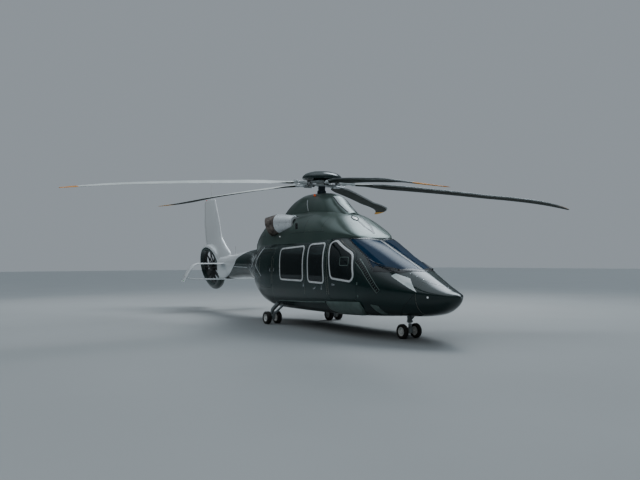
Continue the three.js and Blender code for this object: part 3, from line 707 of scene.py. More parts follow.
@dataclass(frozen=True)
class HeatTint(Finish):
    """Bare nickel alloy coloured by heat: brown to purple towards the outlet, with dark soot over it."""

    hot: str = "#4a3630"
    x_range: tuple[float, float] = (-0.90, -1.30)

    def colours(self, tree: Tree, place: Sockets) -> Socket:
        """Tints that follow the flow, and soot in streaks."""
        parts = node(tree, "ShaderNodeSeparateXYZ", {"Vector": place["Object"]})
        along = node(tree, "ShaderNodeMapRange", {"Value": parts.outputs["X"], "From Min": self.x_range[0],
                                                  "From Max": self.x_range[1]})
        tint = node(tree, "ShaderNodeMix", {0: along.outputs["Result"], 6: linear(self.colour), 7: linear(self.hot)},
                    data_type="RGBA")
        soot = node(tree, "ShaderNodeTexNoise", {"Vector": place["Object"], "Detail": 8.0, "Roughness": 0.7,
                                                 "Scale": per_metre(self.drift_mm)})
        share = node(tree, "ShaderNodeMapRange", {"Value": soot.outputs["Fac"], "From Min": 0.42, "From Max": 0.7})
        return node(tree, "ShaderNodeMix", {0: share.outputs["Result"], 6: tint.outputs[2],
                                            7: linear(self.drift)}, data_type="RGBA").outputs[2]


@dataclass(frozen=True)
class Hide(Finish):
    """Split cowhide pressed with a pebble grain, which catches the light in small round cells."""

    def relief(self, tree: Tree, place: Sockets) -> Socket:
        """Pebbles, drawn three times coarser than real so that they show."""
        cells = node(tree, "ShaderNodeTexVoronoi", {"Vector": place["Object"], "Scale": per_metre(self.grain_mm)})
        return node(tree, "ShaderNodeBump", {"Height": cells.outputs["Distance"], "Strength": 0.5,
                                             "Distance": self.relief_mm / 1000}, invert=True).outputs["Normal"]


@dataclass(frozen=True)
class Turned(Finish):
    """Machined or drawn metal, whose fine tool marks stretch the highlights."""

    marks: tuple[float, float, float] = (1.0, 1.0, 12.0)

    def relief(self, tree: Tree, place: Sockets) -> Socket:
        """Tool marks, squeezed in one direction by a Mapping node."""
        turned = node(tree, "ShaderNodeMapping", {"Vector": place["Object"], "Scale": self.marks})
        lines = node(tree, "ShaderNodeTexNoise", {"Vector": turned.outputs["Vector"], "Detail": 3.0,
                                                  "Scale": per_metre(self.grain_mm)})
        return node(tree, "ShaderNodeBump", {"Height": lines.outputs["Fac"], "Strength": 0.4,
                                             "Distance": self.relief_mm / 1000}).outputs["Normal"]


@dataclass(frozen=True)
class Lamp(Finish):
    """A polycarbonate lens or a display, with a little light of its own."""

    light: str = "#ffffff"
    strength: float = 0.5

    def extra(self, tree: Tree, shader: bpy.types.Node, place: Sockets) -> None:
        """Adds the light. Polycarbonate bends light more than acrylic."""
        shader.inputs["IOR"].default_value = 1.58
        shader.inputs["Emission Color"].default_value = linear(self.light)
        shader.inputs["Emission Strength"].default_value = self.strength


# Polyurethane topcoat sprayed on carbon-fibre skins and polished: near-black green, mirror gloss, and slow waves
# that bend the reflections. Its orange peel is about 2 mm wide and is drawn at 20 mm to show at all.
BODY_PAINT = Finish("polyurethane body paint", "body_paint", "#0c2120", "#112b29", 0.16, 0.06, coat=0.25,
                    drift_mm=900, grain_mm=20, relief_mm=0.012, wave_mm=650, dust=0.03, mirror=0.4)
TWO_TONE_PAINT = TwoTone("polyurethane two-tone paint", "body_paint", "#0c2120", "#112b29", 0.17, 0.06, coat=0.25,
                         drift_mm=900, grain_mm=20, relief_mm=0.012, wave_mm=650, dust=0.02, mirror=0.4,
                         curve=((-9.0, 1.05), (-6.6, 1.12), (-5.95, 1.2), (-5.566, 1.315), (-5.29, 1.455),
                                (-5.087, 1.592), (-4.913, 1.81), (-4.736, 1.892), (-4.464, 1.988), (-4.207, 2.05),
                                (-3.345, 2.20), (-3.0, 2.9)))
# The body's green painted lighter and greyer on the deck, as a painted reflection of the sky on what faces up, with a
# little metal in it.
DECK_SKY_SHEEN_PAINT = Finish("pearl deck paint", "body_paint", "#43554f", "#4d5f59", 0.30, 0.08, metallic=0.35, coat=0.3,
                    drift_mm=1000, grain_mm=18, relief_mm=0.012, dust=0.06)
# The same paint with aluminium flakes: pale, with a soft wide highlight instead of a mirror.
SILVER_PAINT = Finish("aluminium flake paint", "tail_paint", "#e6ebed", "#d9dfe2", 0.26, 0.06, metallic=0.25,
                      coat=0.5, drift_mm=1100, grain_mm=16, relief_mm=0.01, wave_mm=500)
# Pale enamel on pressed window frames, duller where hands rest on it.
FRAME_PAINT = Finish("window frame paint", "body_paint", "#e2e5e5", "#d3d7d8", 0.26, 0.08, metallic=0.15, coat=0.4,
                     drift_mm=300, grain_mm=14, relief_mm=0.02)
# Satin paint on pressed aluminium panels that are walked on or handled, so it is scuffed through in places.
GREY_PAINT = Finish("satin panel paint", "body_paint", "#62746f", "#536560", 0.32, 0.14, coat=0.3, drift_mm=180,
                    grain_mm=14, relief_mm=0.04, dust=0.10, chips="#6d7371", chip_mm=45, chip_share=0.33)
# The facet on the nose, painted pale: a painted reflection of the bright sky on a face that looks up, in two tones
# that wander in patches. Solid topcoat, polished, with no flakes.
NOSE_FACET_REFLECTION_PAINT = Finish("pale nose facet paint", "body_paint", "#c6d3d1", "#eef3f2", 0.20, 0.05, coat=0.5,
                    drift_mm=260, grain_mm=18, relief_mm=0.012)
# Black fired on the border of the screens, and black enamel on wipers and trim. The same black, laid in strips down
# the front of the deck, is painted shade for the recess there.
TRIM_BLACK = Finish("black ceramic border", "body_paint", "#07090b", "#0c1013", 0.22, 0.1, drift_mm=200, grain_mm=9,
                    relief_mm=0.02)
# Extruded EPDM: matt black, with a faint grey bloom where it has aged.
SEAL_RUBBER = Finish("rubber seal", "body_paint", "#0a0b0b", "#161717", 0.62, 0.15, drift_mm=90, grain_mm=6,
                     relief_mm=0.15)
# Stretched acrylic: the side panes let most light through. The screens let little through and mirror little, and their
# deep blue is a painted reflection of the sky.
SIDE_GLASS = Glazing("tinted acrylic", "tinted_glass", "#39494b", "#303f42", 0.015, 0.01, drift_mm=500, grain_mm=300,
                     relief_mm=0.02, passes=0.82)
SCREEN_SKY_REFLECTION_GLASS = Glazing("windscreen acrylic", "tinted_glass", "#1b3852", "#152c43", 0.012, 0.01, drift_mm=600,
                       grain_mm=400, relief_mm=0.02, passes=0.2, mirror=0.05)
# Thin nickel alloy round the hot gas, brown to purple towards the outlet.
HOT_STEEL = HeatTint("heat-tinted nickel alloy", "exhaust_steel", "#8a8079", "#2a2320", 0.36, 0.22, metallic=0.7,
                     drift_mm=120, grain_mm=10, relief_mm=0.12)
# The inside of the nozzles: dry black soot that has no shine left.
SOOT = Finish("sooted steel", "exhaust_steel", "#0b0a09", "#1a1512", 0.85, 0.1, drift_mm=70, grain_mm=9,
              relief_mm=0.4)
# Sand-cast aluminium, shot-blasted: grey and pebbly, with a dull shine.
ALLOY = Finish("sand-cast aluminium", "engine_alloy", "#8d9092", "#7a7e80", 0.42, 0.12, metallic=0.8, drift_mm=150,
               grain_mm=7, relief_mm=0.25, dust=0.06)
# Primed titanium forgings of the hub, painted pale grey; bolts and rods are cadmium-plated steel.
HUB_PAINT = Finish("hub forging paint", "hub_metal", "#d3d9da", "#b4bcbe", 0.36, 0.14, metallic=0.15, drift_mm=110,
                   grain_mm=9, relief_mm=0.1, chips="#3b3f3f", chip_mm=40, chip_share=0.36)
BRIGHT_METAL = Turned("plated steel", "hub_metal", "#c3c7c9", "#a9adaf", 0.22, 0.1, metallic=0.95, drift_mm=60,
                      grain_mm=30, relief_mm=0.05)
MAST_STEEL = Turned("phosphated mast steel", "hub_metal", "#3b464d", "#2d363c", 0.34, 0.12, metallic=0.7, drift_mm=90,
                    grain_mm=30, relief_mm=0.05)
# Blades are glass and carbon fibre under matt polyurethane, with a nickel strip bonded round the leading edge. Rain
# and sand frost that strip. Faces that look up take a pale paint, partly a painted sky sheen, and faces that look down
# a dark green-grey, partly painted shade with a painted reflection of the grass.
BLADE_TOP_SKY_SHEEN = Finish("blade upper paint", "blade_skin", "#c6cccb", "#b4bbb9", 0.38, 0.12, coat=0.1, drift_mm=450,
                   grain_mm=14, relief_mm=0.03, dust=0.05)
BLADE_UNDER_SHADE = Finish("blade lower paint", "blade_skin", "#222b26", "#1b231e", 0.62, 0.12, drift_mm=450,
                     grain_mm=14, relief_mm=0.03, mirror=0.2)
BLADE_TIP = Finish("blade tip paint", "blade_skin", "#d98c1f", "#c67c18", 0.36, 0.1, coat=0.2, drift_mm=200,
                   grain_mm=14, relief_mm=0.03, chips="#4b4d47", chip_mm=50, chip_share=0.3)
BLADE_TIP_UNDER = Finish("blade tip lower paint", "blade_skin", "#d6981f", "#c08a1c", 0.5, 0.1, drift_mm=200,
                         grain_mm=14, relief_mm=0.03, mirror=0.2)
EROSION_STEEL = Turned("electroformed nickel", "blade_skin", "#8b9090", "#6f7474", 0.34, 0.16, metallic=0.85,
                       drift_mm=120, grain_mm=24, relief_mm=0.06)
# Semi-matt paint on moulded fan blades and their case.
FAN_BLACK = Finish("fan paint", "fan_paint", "#15191a", "#0d1011", 0.42, 0.12, drift_mm=140, grain_mm=10,
                   relief_mm=0.06)
# Forged aluminium legs in epoxy paint, dusty and chipped near the wheels; the sliding rods are hard chrome.
GEAR_GREY = Finish("gear epoxy paint", "gear_paint", "#7b8486", "#666f71", 0.38, 0.15, drift_mm=120, grain_mm=10,
                   relief_mm=0.08, dust=0.18, chips="#3c4041", chip_mm=38, chip_share=0.35)
CHROME = Finish("hard chrome rod", "gear_paint", "#d9dcde", "#c8cbcd", 0.08, 0.05, metallic=1.0, drift_mm=60,
                grain_mm=8, relief_mm=0.01)
RIM_WHITE = Finish("wheel epoxy paint", "rim_alloy", "#dcdedc", "#c6c9c6", 0.34, 0.15, coat=0.2, drift_mm=80,
                   grain_mm=8, relief_mm=0.06, dust=0.14, chips="#77797a", chip_mm=30, chip_share=0.33)
# Moulded rubber: nearly black, matt, with dry dust in the texture of the sidewalls and the tread worn greyer.
TYRE = Finish("moulded tyre rubber", "tyre_rubber", "#18191a", "#292927", 0.8, 0.12, drift_mm=45, grain_mm=5,
              relief_mm=0.35, dust=0.12)
# Cowhide seat covers: warm grey-brown, with a low sheen.
LEATHER = Hide("pebbled leather", "seat_leather", "#8f7f6a", "#7a6b58", 0.48, 0.12, drift_mm=160, grain_mm=9,
               relief_mm=0.5)
# Pull tabs for the windows, moulded in yellow nylon that has faded a little.
RELEASE_YELLOW = Finish("moulded yellow nylon", "panel_black", "#d8b21e", "#c29d15", 0.5, 0.1, drift_mm=40,
                        grain_mm=6, relief_mm=0.1)
STITCHING = Finish("bonded nylon thread", "seat_leather", "#cfc6b4", "#bfb5a2", 0.7, 0.1, drift_mm=30, grain_mm=3,
                   relief_mm=0.3)
# Tufted wool: the pile is 3 mm and is drawn at 9 mm, so that the floor reads as soft and not as paint.
CARPET = Finish("tufted wool carpet", "panel_black", "#3c4042", "#2c3032", 0.96, 0.03, drift_mm=220, grain_mm=9,
                relief_mm=2.5)
# Suede stretched over the cabin walls: pale, with no gloss.
LINING = Finish("stretched suede lining", "panel_black", "#b9b4a8", "#a8a397", 0.85, 0.08, drift_mm=300, grain_mm=6,
                relief_mm=0.4)
# Injection-moulded ABS with a fine leather texture, dusty on top.
PANEL_BLACK = Finish("textured ABS", "panel_black", "#15181a", "#1f2325", 0.6, 0.1, drift_mm=200, grain_mm=5,
                     relief_mm=0.25, dust=0.05)
# Displays and lamps: glossy lenses that give a little light of their own.
SCREEN_BLUE = Lamp("display glass", "panel_black", "#0b131d", "#101e2e", 0.08, 0.05, drift_mm=90, grain_mm=60,
                   relief_mm=0.01, light="#2d5f8f", strength=0.3)
LAMP_CLEAR = Lamp("clear lamp lens", "tinted_glass", "#e6eaeb", "#d3dadc", 0.08, 0.06, coat=0.4, drift_mm=40,
                  grain_mm=9, relief_mm=0.3, strength=0.15)
LAMP_RED = replace(LAMP_CLEAR, name="red lamp lens", colour="#a01212", drift="#7c0d0d", light="#ff2010", strength=0.2)
LAMP_GREEN = replace(LAMP_CLEAR, name="green lamp lens", colour="#0f7d35", drift="#0b5f28", light="#10ff50")
LAMP_AMBER = replace(LAMP_CLEAR, name="amber beacon lens", colour="#c4541a", drift="#9c3f12", roughness=0.1,
                     light="#ff6a20", strength=0.2)
# Studio floor: even grey vinyl, nearly matt.
FLOOR = Finish("rolled studio vinyl", "floor", "#878b8c", "#85898a", 0.85, 0.04, drift_mm=3000, grain_mm=30,
               relief_mm=0.05)


def publish(item: Item, name: str, finish: Finish, body: str = "airframe", nodes: Sequence[str] = (),
            shape: Shape | None = None, angle: float = 30) -> Item:
    """Names, lowers, paints and registers a finished piece.

    Args:
        item: The piece, with heights above the ground.
        name: The piece's name.
        finish: What it is covered with.
        body: The moving body that carries it.
        nodes: Model nodes that it stands for.
        shape: Surface whose normals it takes.
        angle: Edges sharper than this stay sharp.

    Returns:
        The piece.
    """
    item.name = item.data.name = name.replace(" ", "_")
    item.data.transform(Matrix.Translation((0, 0, GROUND)))
    if not any(item.data.materials):
        item.data.materials.clear()
        item.data.materials.append(finish.material())
    item.data.shade_smooth()
    item.data.set_sharp_from_angle(angle=math.radians(angle))
    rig.ride(item, body)
    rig.slot(item, finish.slot)
    if nodes:
        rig.replaces(item, *nodes)
    if shape:
        seamed(item, shape)
    LOG.info("%s: %d faces on %s", name, len(item.data.polygons), body)
    return item


def row_tree() -> Tree:
    """The Geometry Nodes tree that sets copies of a head along paths, made on its first use."""
    found = bpy.data.node_groups.get("row of heads")
    if found:
        return found
    tree = bpy.data.node_groups.new("row of heads", "GeometryNodeTree")
    for name, kind in (("Path", "NodeSocketGeometry"), ("Head", "NodeSocketObject"), ("Pitch", "NodeSocketFloat"),
                       ("Finish", "NodeSocketMaterial")):
        tree.interface.new_socket(name, in_out="INPUT", socket_type=kind)
    tree.interface.new_socket("Row", in_out="OUTPUT", socket_type="NodeSocketGeometry")
    given = node(tree, "NodeGroupInput").outputs
    line = node(tree, "GeometryNodeMeshToCurve", {"Mesh": given["Path"]})
    dots = node(tree, "GeometryNodeResampleCurve", {"Curve": line.outputs["Curve"], "Length": given["Pitch"]},
                mode="LENGTH")
    up = node(tree, "GeometryNodeInputNamedAttribute", {"Name": "up"}, data_type="FLOAT_VECTOR")
    along = node(tree, "FunctionNodeAlignRotationToVector",
                 {"Vector": node(tree, "GeometryNodeInputTangent").outputs["Tangent"]}, axis="X")
    turn = node(tree, "FunctionNodeAlignRotationToVector",
                {"Rotation": along.outputs["Rotation"], "Vector": up.outputs["Attribute"]}, axis="Z", pivot_axis="X")
    head = node(tree, "GeometryNodeObjectInfo", {"Object": given["Head"]})
    placed = node(tree, "GeometryNodeInstanceOnPoints", {
        "Points": dots.outputs["Curve"], "Instance": head.outputs["Geometry"], "Rotation": turn.outputs["Rotation"]})
    real = node(tree, "GeometryNodeRealizeInstances", {"Geometry": placed.outputs["Instances"]})
    done = node(tree, "GeometryNodeSetMaterial", {"Geometry": real.outputs["Geometry"], "Material": given["Finish"]})
    node(tree, "NodeGroupOutput", {"Row": done.outputs["Geometry"]})
    return tree


def row(paths: Sequence[Path], head: Item, pitch: float, finish: Finish) -> Item:
    """Sets copies of a head along paths: rivets, bolts, ribs or slats.

    Args:
        paths: For each path its points, the outward direction at each point, and True if it closes.
        head: The small solid, standing on Z with its length along X. It is used up.
        pitch: Distance between two heads.
        finish: What they are covered with.

    Returns:
        All the copies as one plain mesh object.
    """
    points, ups, edges = [], [], []
    for line, up, closed in paths:
        start, count = len(points), len(line)
        edges += [(start + i, start + i + 1) for i in range(count - 1)]
        if closed:
            edges.append((start + count - 1, start))
        points += [tuple(map(float, p)) for p in line]
        ups += [tuple(map(float, p)) for p in up]
    mesh = bpy.data.meshes.new("row")
    mesh.from_pydata(points, edges, [])
    mesh.attributes.new("up", "FLOAT_VECTOR", "POINT").data.foreach_set("vector", np.array(ups).ravel())
    item = linked(mesh)
    change = item.modifiers.new("row", "NODES")
    change.node_group = row_tree()
    sockets = {s.name: s.identifier for s in change.node_group.interface.items_tree if s.in_out == "INPUT"}
    change[sockets["Head"]] = head
    change[sockets["Pitch"]] = pitch
    change[sockets["Finish"]] = finish.material()
    evaluated(item)
    discard(head)
    return item


def button(radius: float, height: float, sides: int = 8) -> Item:
    """A small fastener head with a rounded rim, its foot a little below the surface."""
    return lathe([(0, -0.002), (radius, -0.002), (radius, height * 0.5), (radius * 0.7, height), (0, height)], sides)


def hoop(radius: float, height: float, matrix: Matrix, count: int = 48) -> Path:
    """A circle about Z as a path for row(), whose heads stand along Z.

    Args:
        radius: Radius of the circle.
        height: Where it lies along Z.
        matrix: Moves it to its place.
        count: Points in the circle.

    Returns:
        The path.
    """
    points = [matrix @ Vector((radius * math.cos(a), radius * math.sin(a), height)) for a in full_turn(count)]
    up = (matrix.to_3x3() @ Vector((0, 0, 1))).normalized()
    return np.array(points), np.array([up] * count), True


# Fair shapes


@dataclass(frozen=True)
class Shape:
    """A fair outer surface, made of sections across X. Each row holds a station and the measures of its section."""

    rows: tuple[tuple[float, ...], ...]
    table: np.ndarray = field(init=False, repr=False, compare=False)
    samples = 3000        # stations in the table

    def __post_init__(self) -> None:
        data = np.array(sorted(self.rows))
        xs = np.linspace(data[0, 0], data[-1, 0], self.samples)
        columns = [eased(data[:, 0], data[:, k], xs) for k in range(1, data.shape[1])]
        object.__setattr__(self, "table", np.vstack([xs, *columns]))

    def values(self, x: np.ndarray) -> list[np.ndarray]:
        """The measures of the section at x."""
        return [np.interp(x, self.table[0], column) for column in self.table[1:]]

    def level(self, points: np.ndarray) -> np.ndarray:
        """A value that is 0 on the surface and rises outwards."""
        raise NotImplementedError

    def slope(self, points: np.ndarray) -> np.ndarray:
        """How fast the level rises along each axis."""
        step = 5e-4
        rises = [self.level(points + s) - self.level(points - s) for s in np.eye(3) * step]
        return np.column_stack(rises) / (2 * step)

    def normals(self, points: np.ndarray) -> np.ndarray:
        """Outward unit normals near the surface."""
        slope = self.slope(points)
        return slope / np.maximum(np.linalg.norm(slope, axis=1, keepdims=True), 1e-9)

    def depth(self, points: np.ndarray) -> np.ndarray:
        """Distance outside the surface, close to it."""
        return self.level(points) / np.maximum(np.linalg.norm(self.slope(points), axis=1), 1e-9)

    def place(self, facing: Facing, flat: np.ndarray) -> np.ndarray:
        """Lifts flat points onto the starboard surface: (x, z) pairs from the side, or (x, y) pairs from above."""
        if facing is Facing.SIDE:
            return np.column_stack([flat[:, 0], -self.reach(flat[:, 0], flat[:, 1]), flat[:, 1]])
        return np.column_stack([flat[:, 0], -flat[:, 1], self.roof(flat[:, 0], flat[:, 1])])

    def reach(self, x: np.ndarray, z: np.ndarray) -> np.ndarray:
        """Half-width at a station and a height."""
        raise NotImplementedError

    def roof(self, x: np.ndarray, y: np.ndarray) -> np.ndarray:
        """Height of the top at a station and a distance from the middle."""
        raise NotImplementedError


@dataclass(frozen=True)
class BodyShape(Shape):
    """The fuselage: superelliptic sections faired through measured stations.

    Each row holds x, belly, height of the widest line, roof, half-width there, and the roundness of the
    section above and below that line, where 2 is an ellipse.
    """

    samples = 6000
    sides = 120
    pitch = 0.06
    nose_from = 4.7       # in front of this station the sections lie closer together
    nose_pitch = 0.02
    tip = 0.004           # smallest half-width of a section

    def level(self, points: np.ndarray) -> np.ndarray:
        x, y, z = points.T
        low, wide, high, half, up, down = self.values(x)
        above = z > wide
        tall = np.where(above, high - wide, wide - low)
        power = np.where(above, up, down)
        total = np.abs(y / half) ** power + np.abs((z - wide) / tall) ** power
        return total ** (1 / power) - 1

    def reach(self, x: np.ndarray, z: np.ndarray) -> np.ndarray:
        low, wide, high, half, up, down = self.values(x)
        above = z > wide
        share = np.clip(np.abs(z - wide) / np.where(above, high - wide, wide - low), 0, 1)
        power = np.where(above, up, down)
        return half * (1 - share ** power) ** (1 / power)

    def roof(self, x: np.ndarray, y: np.ndarray) -> np.ndarray:
        _, wide, high, half, up, _ = self.values(x)
        share = np.clip(np.abs(y) / half, 0, 1)
        return wide + (high - wide) * (1 - share ** up) ** (1 / up)

    def section(self, x: float, inset: float) -> np.ndarray:
        """One ring of points."""
        low, wide, high, half, up, down = self.values(np.float64(x))
        turn = (np.arange(self.sides) + 0.5) / self.sides * 2 * math.pi
        c, s = np.cos(turn), np.sin(turn)
        power = np.where(s > 0, 2 / up, 2 / down)
        tall = np.where(s > 0, high - wide, wide - low)
        y = squared(c, power) * max(half - inset, self.tip)
        z = wide + squared(s, power) * np.maximum(tall - inset, self.tip)
        return np.column_stack([np.full(self.sides, x), y, z])

    def solid(self, front: float, rear: float, inset: float = 0.0) -> Item:
        """The body between two stations, moved inwards by inset."""
        start = min(front, self.nose_from)
        xs = [front]
        if front > self.nose_from:
            xs = list(np.arange(front, max(rear, self.nose_from), -self.nose_pitch))
        xs += list(np.linspace(start - self.pitch, rear, max(int((start - rear) / self.pitch), 2)))
        return loft(np.array([self.section(x, inset) for x in xs]))


@dataclass(frozen=True)
class DeckShape(Shape):
    """A cowling on the roof: half superellipses on straight sides.

    Each row holds x, top, height of the foot of the arch, half-width and roundness.
    """

    bottom: float
    sides = 72
    pitch = 0.04

    def level(self, points: np.ndarray) -> np.ndarray:
        x, y, z = points.T
        high, foot, half, up = self.values(x)
        rise = np.clip((z - foot) / (high - foot), 0, None)
        return (np.abs(y / half) ** up + rise ** up) ** (1 / up) - 1

    def reach(self, x: np.ndarray, z: np.ndarray) -> np.ndarray:
        high, foot, half, up = self.values(x)
        share = np.clip((z - foot) / (high - foot), 0, 1)
        return half * (1 - share ** up) ** (1 / up)

    def roof(self, x: np.ndarray, y: np.ndarray) -> np.ndarray:
        high, foot, half, up = self.values(x)
        share = np.clip(np.abs(y) / half, 0, 1)
        return foot + (high - foot) * (1 - share ** up) ** (1 / up)

    def solid(self, inset: float = 0.0, drop: float = 0.0, trim: float = 0.0) -> Item:
        """The cowling as a solid, moved in by inset, with its bottom lowered by drop and its ends cut by trim."""
        front, rear = self.table[0][-1] - trim, self.table[0][0] + trim
        turn = np.linspace(0, math.pi, self.sides)
        c, s = np.cos(turn), np.sin(turn).clip(0, 1)
        rings = []
        for x in np.linspace(front, rear, int((front - rear) / self.pitch)):
            high, foot, half, up = self.values(np.float64(x))
            half -= inset
            ys = np.concatenate([squared(c, 2 / up) * half, [-half, half]])
            zs = np.concatenate([foot + s ** (2 / up) * (high - foot - inset), [self.bottom - drop] * 2])
            rings.append(np.column_stack([np.full(len(ys), x), ys, zs]))
        return loft(np.array(rings))


BODY = BodyShape(rows=(
    (5.137, 0.970, 0.976, 0.984, 0.008, 2.0, 2.0),
    (5.060, 0.838, 0.980, 1.034, 0.150, 1.8, 2.1),
    (4.890, 0.700, 1.000, 1.100, 0.280, 1.6, 2.2),
    (4.600, 0.585, 1.025, 1.225, 0.445, 1.55, 2.4),
    (4.140, 0.520, 1.060, 1.455, 0.655, 1.75, 2.7),
    (3.700, 0.500, 1.080, 1.666, 0.810, 2.0, 2.9),
    (3.200, 0.466, 1.095, 1.900, 0.930, 2.15, 3.2),
    (2.613, 0.440, 1.105, 2.176, 1.005, 2.7, 3.4),
    (2.200, 0.424, 1.110, 2.340, 1.035, 3.2, 3.5),
    (1.600, 0.410, 1.115, 2.430, 1.050, 3.5, 3.5),
    (0.000, 0.400, 1.120, 2.450, 1.055, 3.6, 3.5),
    (-1.100, 0.400, 1.130, 2.440, 1.050, 3.5, 3.3),
    (-1.700, 0.470, 1.180, 2.420, 1.010, 3.2, 3.0),
    (-2.200, 0.640, 1.290, 2.370, 0.915, 2.9, 2.8),
    (-2.700, 0.850, 1.400, 2.290, 0.730, 2.4, 2.6),
    (-3.200, 1.020, 1.500, 2.200, 0.530, 2.2, 2.4),
    (-3.800, 1.150, 1.590, 2.110, 0.385, 2.1, 2.2),
    (-4.700, 1.180, 1.590, 2.040, 0.320, 2.1, 2.2),
    (-5.600, 1.140, 1.555, 1.965, 0.275, 2.1, 2.2),
    (-6.500, 1.100, 1.520, 1.900, 0.225, 2.1, 2.2),
))
COWLING = DeckShape(bottom=2.0, rows=(
    (2.500, 2.205, 2.160, 0.260, 2.0),
    (2.330, 2.345, 2.270, 0.520, 2.0),
    (1.900, 2.640, 2.330, 0.760, 2.0),
    (1.430, 2.890, 2.350, 0.860, 2.0),
    (0.900, 3.020, 2.360, 0.900, 2.1),
    (0.000, 3.080, 2.360, 0.905, 2.2),
    (-1.200, 3.080, 2.350, 0.880, 2.2),
    (-1.900, 3.020, 2.320, 0.800, 2.1),
    (-2.500, 2.830, 2.260, 0.640, 2.0),
    (-3.100, 2.480, 2.180, 0.420, 2.0),
    (-3.450, 2.240, 2.120, 0.240, 2.0),
))
FAIRING = DeckShape(bottom=2.6, rows=(
    (1.480, 2.900, 2.700, 0.300, 2.0),
    (1.060, 3.190, 2.750, 0.400, 2.1),
    (0.740, 3.420, 2.780, 0.440, 2.3),
    (0.300, 3.520, 2.780, 0.450, 2.4),
    (-0.500, 3.550, 2.780, 0.440, 2.4),
    (-1.000, 3.470, 2.780, 0.410, 2.3),
    (-1.450, 3.300, 2.780, 0.350, 2.2),
    (-1.800, 3.090, 2.770, 0.260, 2.1),
    (-2.080, 2.900, 2.740, 0.150, 2.0),
))

CREW_DOOR = ((1.740, 2.215), (1.990, 2.245), (2.730, 1.870), (2.915, 1.330), (2.930, 0.830), (1.935, 0.815))
CREW_WINDOW = ((1.829, 2.123), (1.956, 2.168), (2.624, 1.837), (2.793, 1.351), (2.721, 1.259), (2.014, 1.319))
SLIDING_DOOR = ((0.740, 2.210), (1.670, 2.215), (1.870, 0.800), (0.860, 0.770))
SLIDING_WINDOW = ((0.931, 2.100), (1.582, 2.118), (1.689, 1.197), (1.020, 1.214))
REAR_WINDOW = ((-0.500, 2.020), (0.672, 2.066), (0.726, 1.232), (-0.417, 1.246))
BAGGAGE_DOOR = ((-1.840, 1.930), (-0.950, 1.960), (-0.950, 0.980), (-1.700, 0.980))
WINDSCREEN = ((2.600, 0.030), (4.105, 0.030), (3.850, 0.480), (3.275, 0.785), (2.990, 0.712), (2.389, 0.704),
              (2.240, 0.680), (2.424, 0.492))
WINDOW_ROUND = 0.09
DOOR_ROUND = 0.11
NOSE_JOINT = 4.400
CABIN_END = -0.860
BOOM_JOINT = -3.800
TAIL_JOINT = -5.950
BOOM_END = -6.500
FLOOR_TOP = 0.740
SCREEN_ROUND = 0.04
PANE_TOP = 0.002       # glass lies this far below the skin
STRIP_PITCH = 0.02     # distance between two points of a strip or path on the skin
STRIP_EDGE = 0.35      # share of a strip's half-width over which its edge is rounded
INSIDE = -0.030        # faces deeper below the skin than this belong to the inside of a wall
SKIN_REACH = 0.006     # corners closer to a shape than this take its normals
SKIN_TURN = math.radians(28)   # faces that turn further from a shape keep their own normals


def evened(path: Corners | np.ndarray, width: float | Point, closed: bool) -> tuple[np.ndarray, np.ndarray]:
    """Sets the points of a path evenly, so that a strip lies close on a curved surface.

    Args:
        path: Points in order.
        width: One width, or one for each point.
        closed: True if the path closes on itself.

    Returns:
        The new points and their widths.
    """
    flat = np.array(path, float)
    wide = np.broadcast_to(np.asarray(width, float), (len(flat),))
    if closed:
        flat, wide = np.vstack([flat, flat[:1]]), np.append(wide, wide[0])
    length = lengths(flat)
    at = np.linspace(0, length[-1], max(int(length[-1] / STRIP_PITCH), 8), endpoint=not closed)
    return np.column_stack([np.interp(at, length, flat[:, k]) for k in (0, 1)]), np.interp(at, length, wide)


def band(shape: Shape, path: Corners | np.ndarray, width: float | Point, height: float,
         facing: Facing = Facing.SIDE, closed: bool = True, sink: float = 0.003, lift: float = 0.0,
         shift: float = 0.0) -> Item:
    """A raised strip that follows a path on a shape's starboard surface.

    Args:
        shape: The surface.
        path: Flat points, (x, z) from the side or (x, y) from above, in order.
        width: Width of the strip, or one width for each point.
        height: How far it stands proud.
        facing: How the path is drawn.
        closed: True if the path closes on itself.
        sink: How far its foot lies below the surface.
        lift: Raises or, if negative, lowers the whole strip.
        shift: Moves the strip to one side of its path.

    Returns:
        The strip as a closed solid.
    """
    flat, wide = evened(path, width, closed)
    if closed:
        run = np.roll(flat, -1, axis=0) - np.roll(flat, 1, axis=0)
    else:
        run = np.gradient(flat, axis=0)
    run /= np.maximum(np.linalg.norm(run, axis=1, keepdims=True), 1e-9)
    across = np.column_stack([run[:, 1], -run[:, 0]])
    flat = flat + across * shift
    half = wide[:, None] / 2
    edge = [(1, -sink), (1, height * 0.45), (1 - STRIP_EDGE, height)]
    columns = []
    for share, rise in [(-s, h) for s, h in edge] + edge[::-1]:
        points = shape.place(facing, flat + across * half * share)
        columns.append(points + shape.normals(points) * (rise + lift))
    return loft(np.stack(columns, axis=1), closed=closed)


def followed(shape: Shape, path: Corners | np.ndarray, closed: bool = False, facing: Facing = Facing.SIDE,
             lift: float = 0.0) -> Path:
    """A path on a shape's starboard surface, as row() and tube() take it.

    Args:
        shape: The surface.
        path: Flat points, as for band().
        closed: True if the path closes on itself.
        facing: How the path is drawn.
        lift: Height above the surface.

    Returns:
        The path.
    """
    flat, _ = evened(path, 0, closed)
    points = shape.place(facing, flat)
    ups = shape.normals(points)
    return points + ups * lift, ups, closed


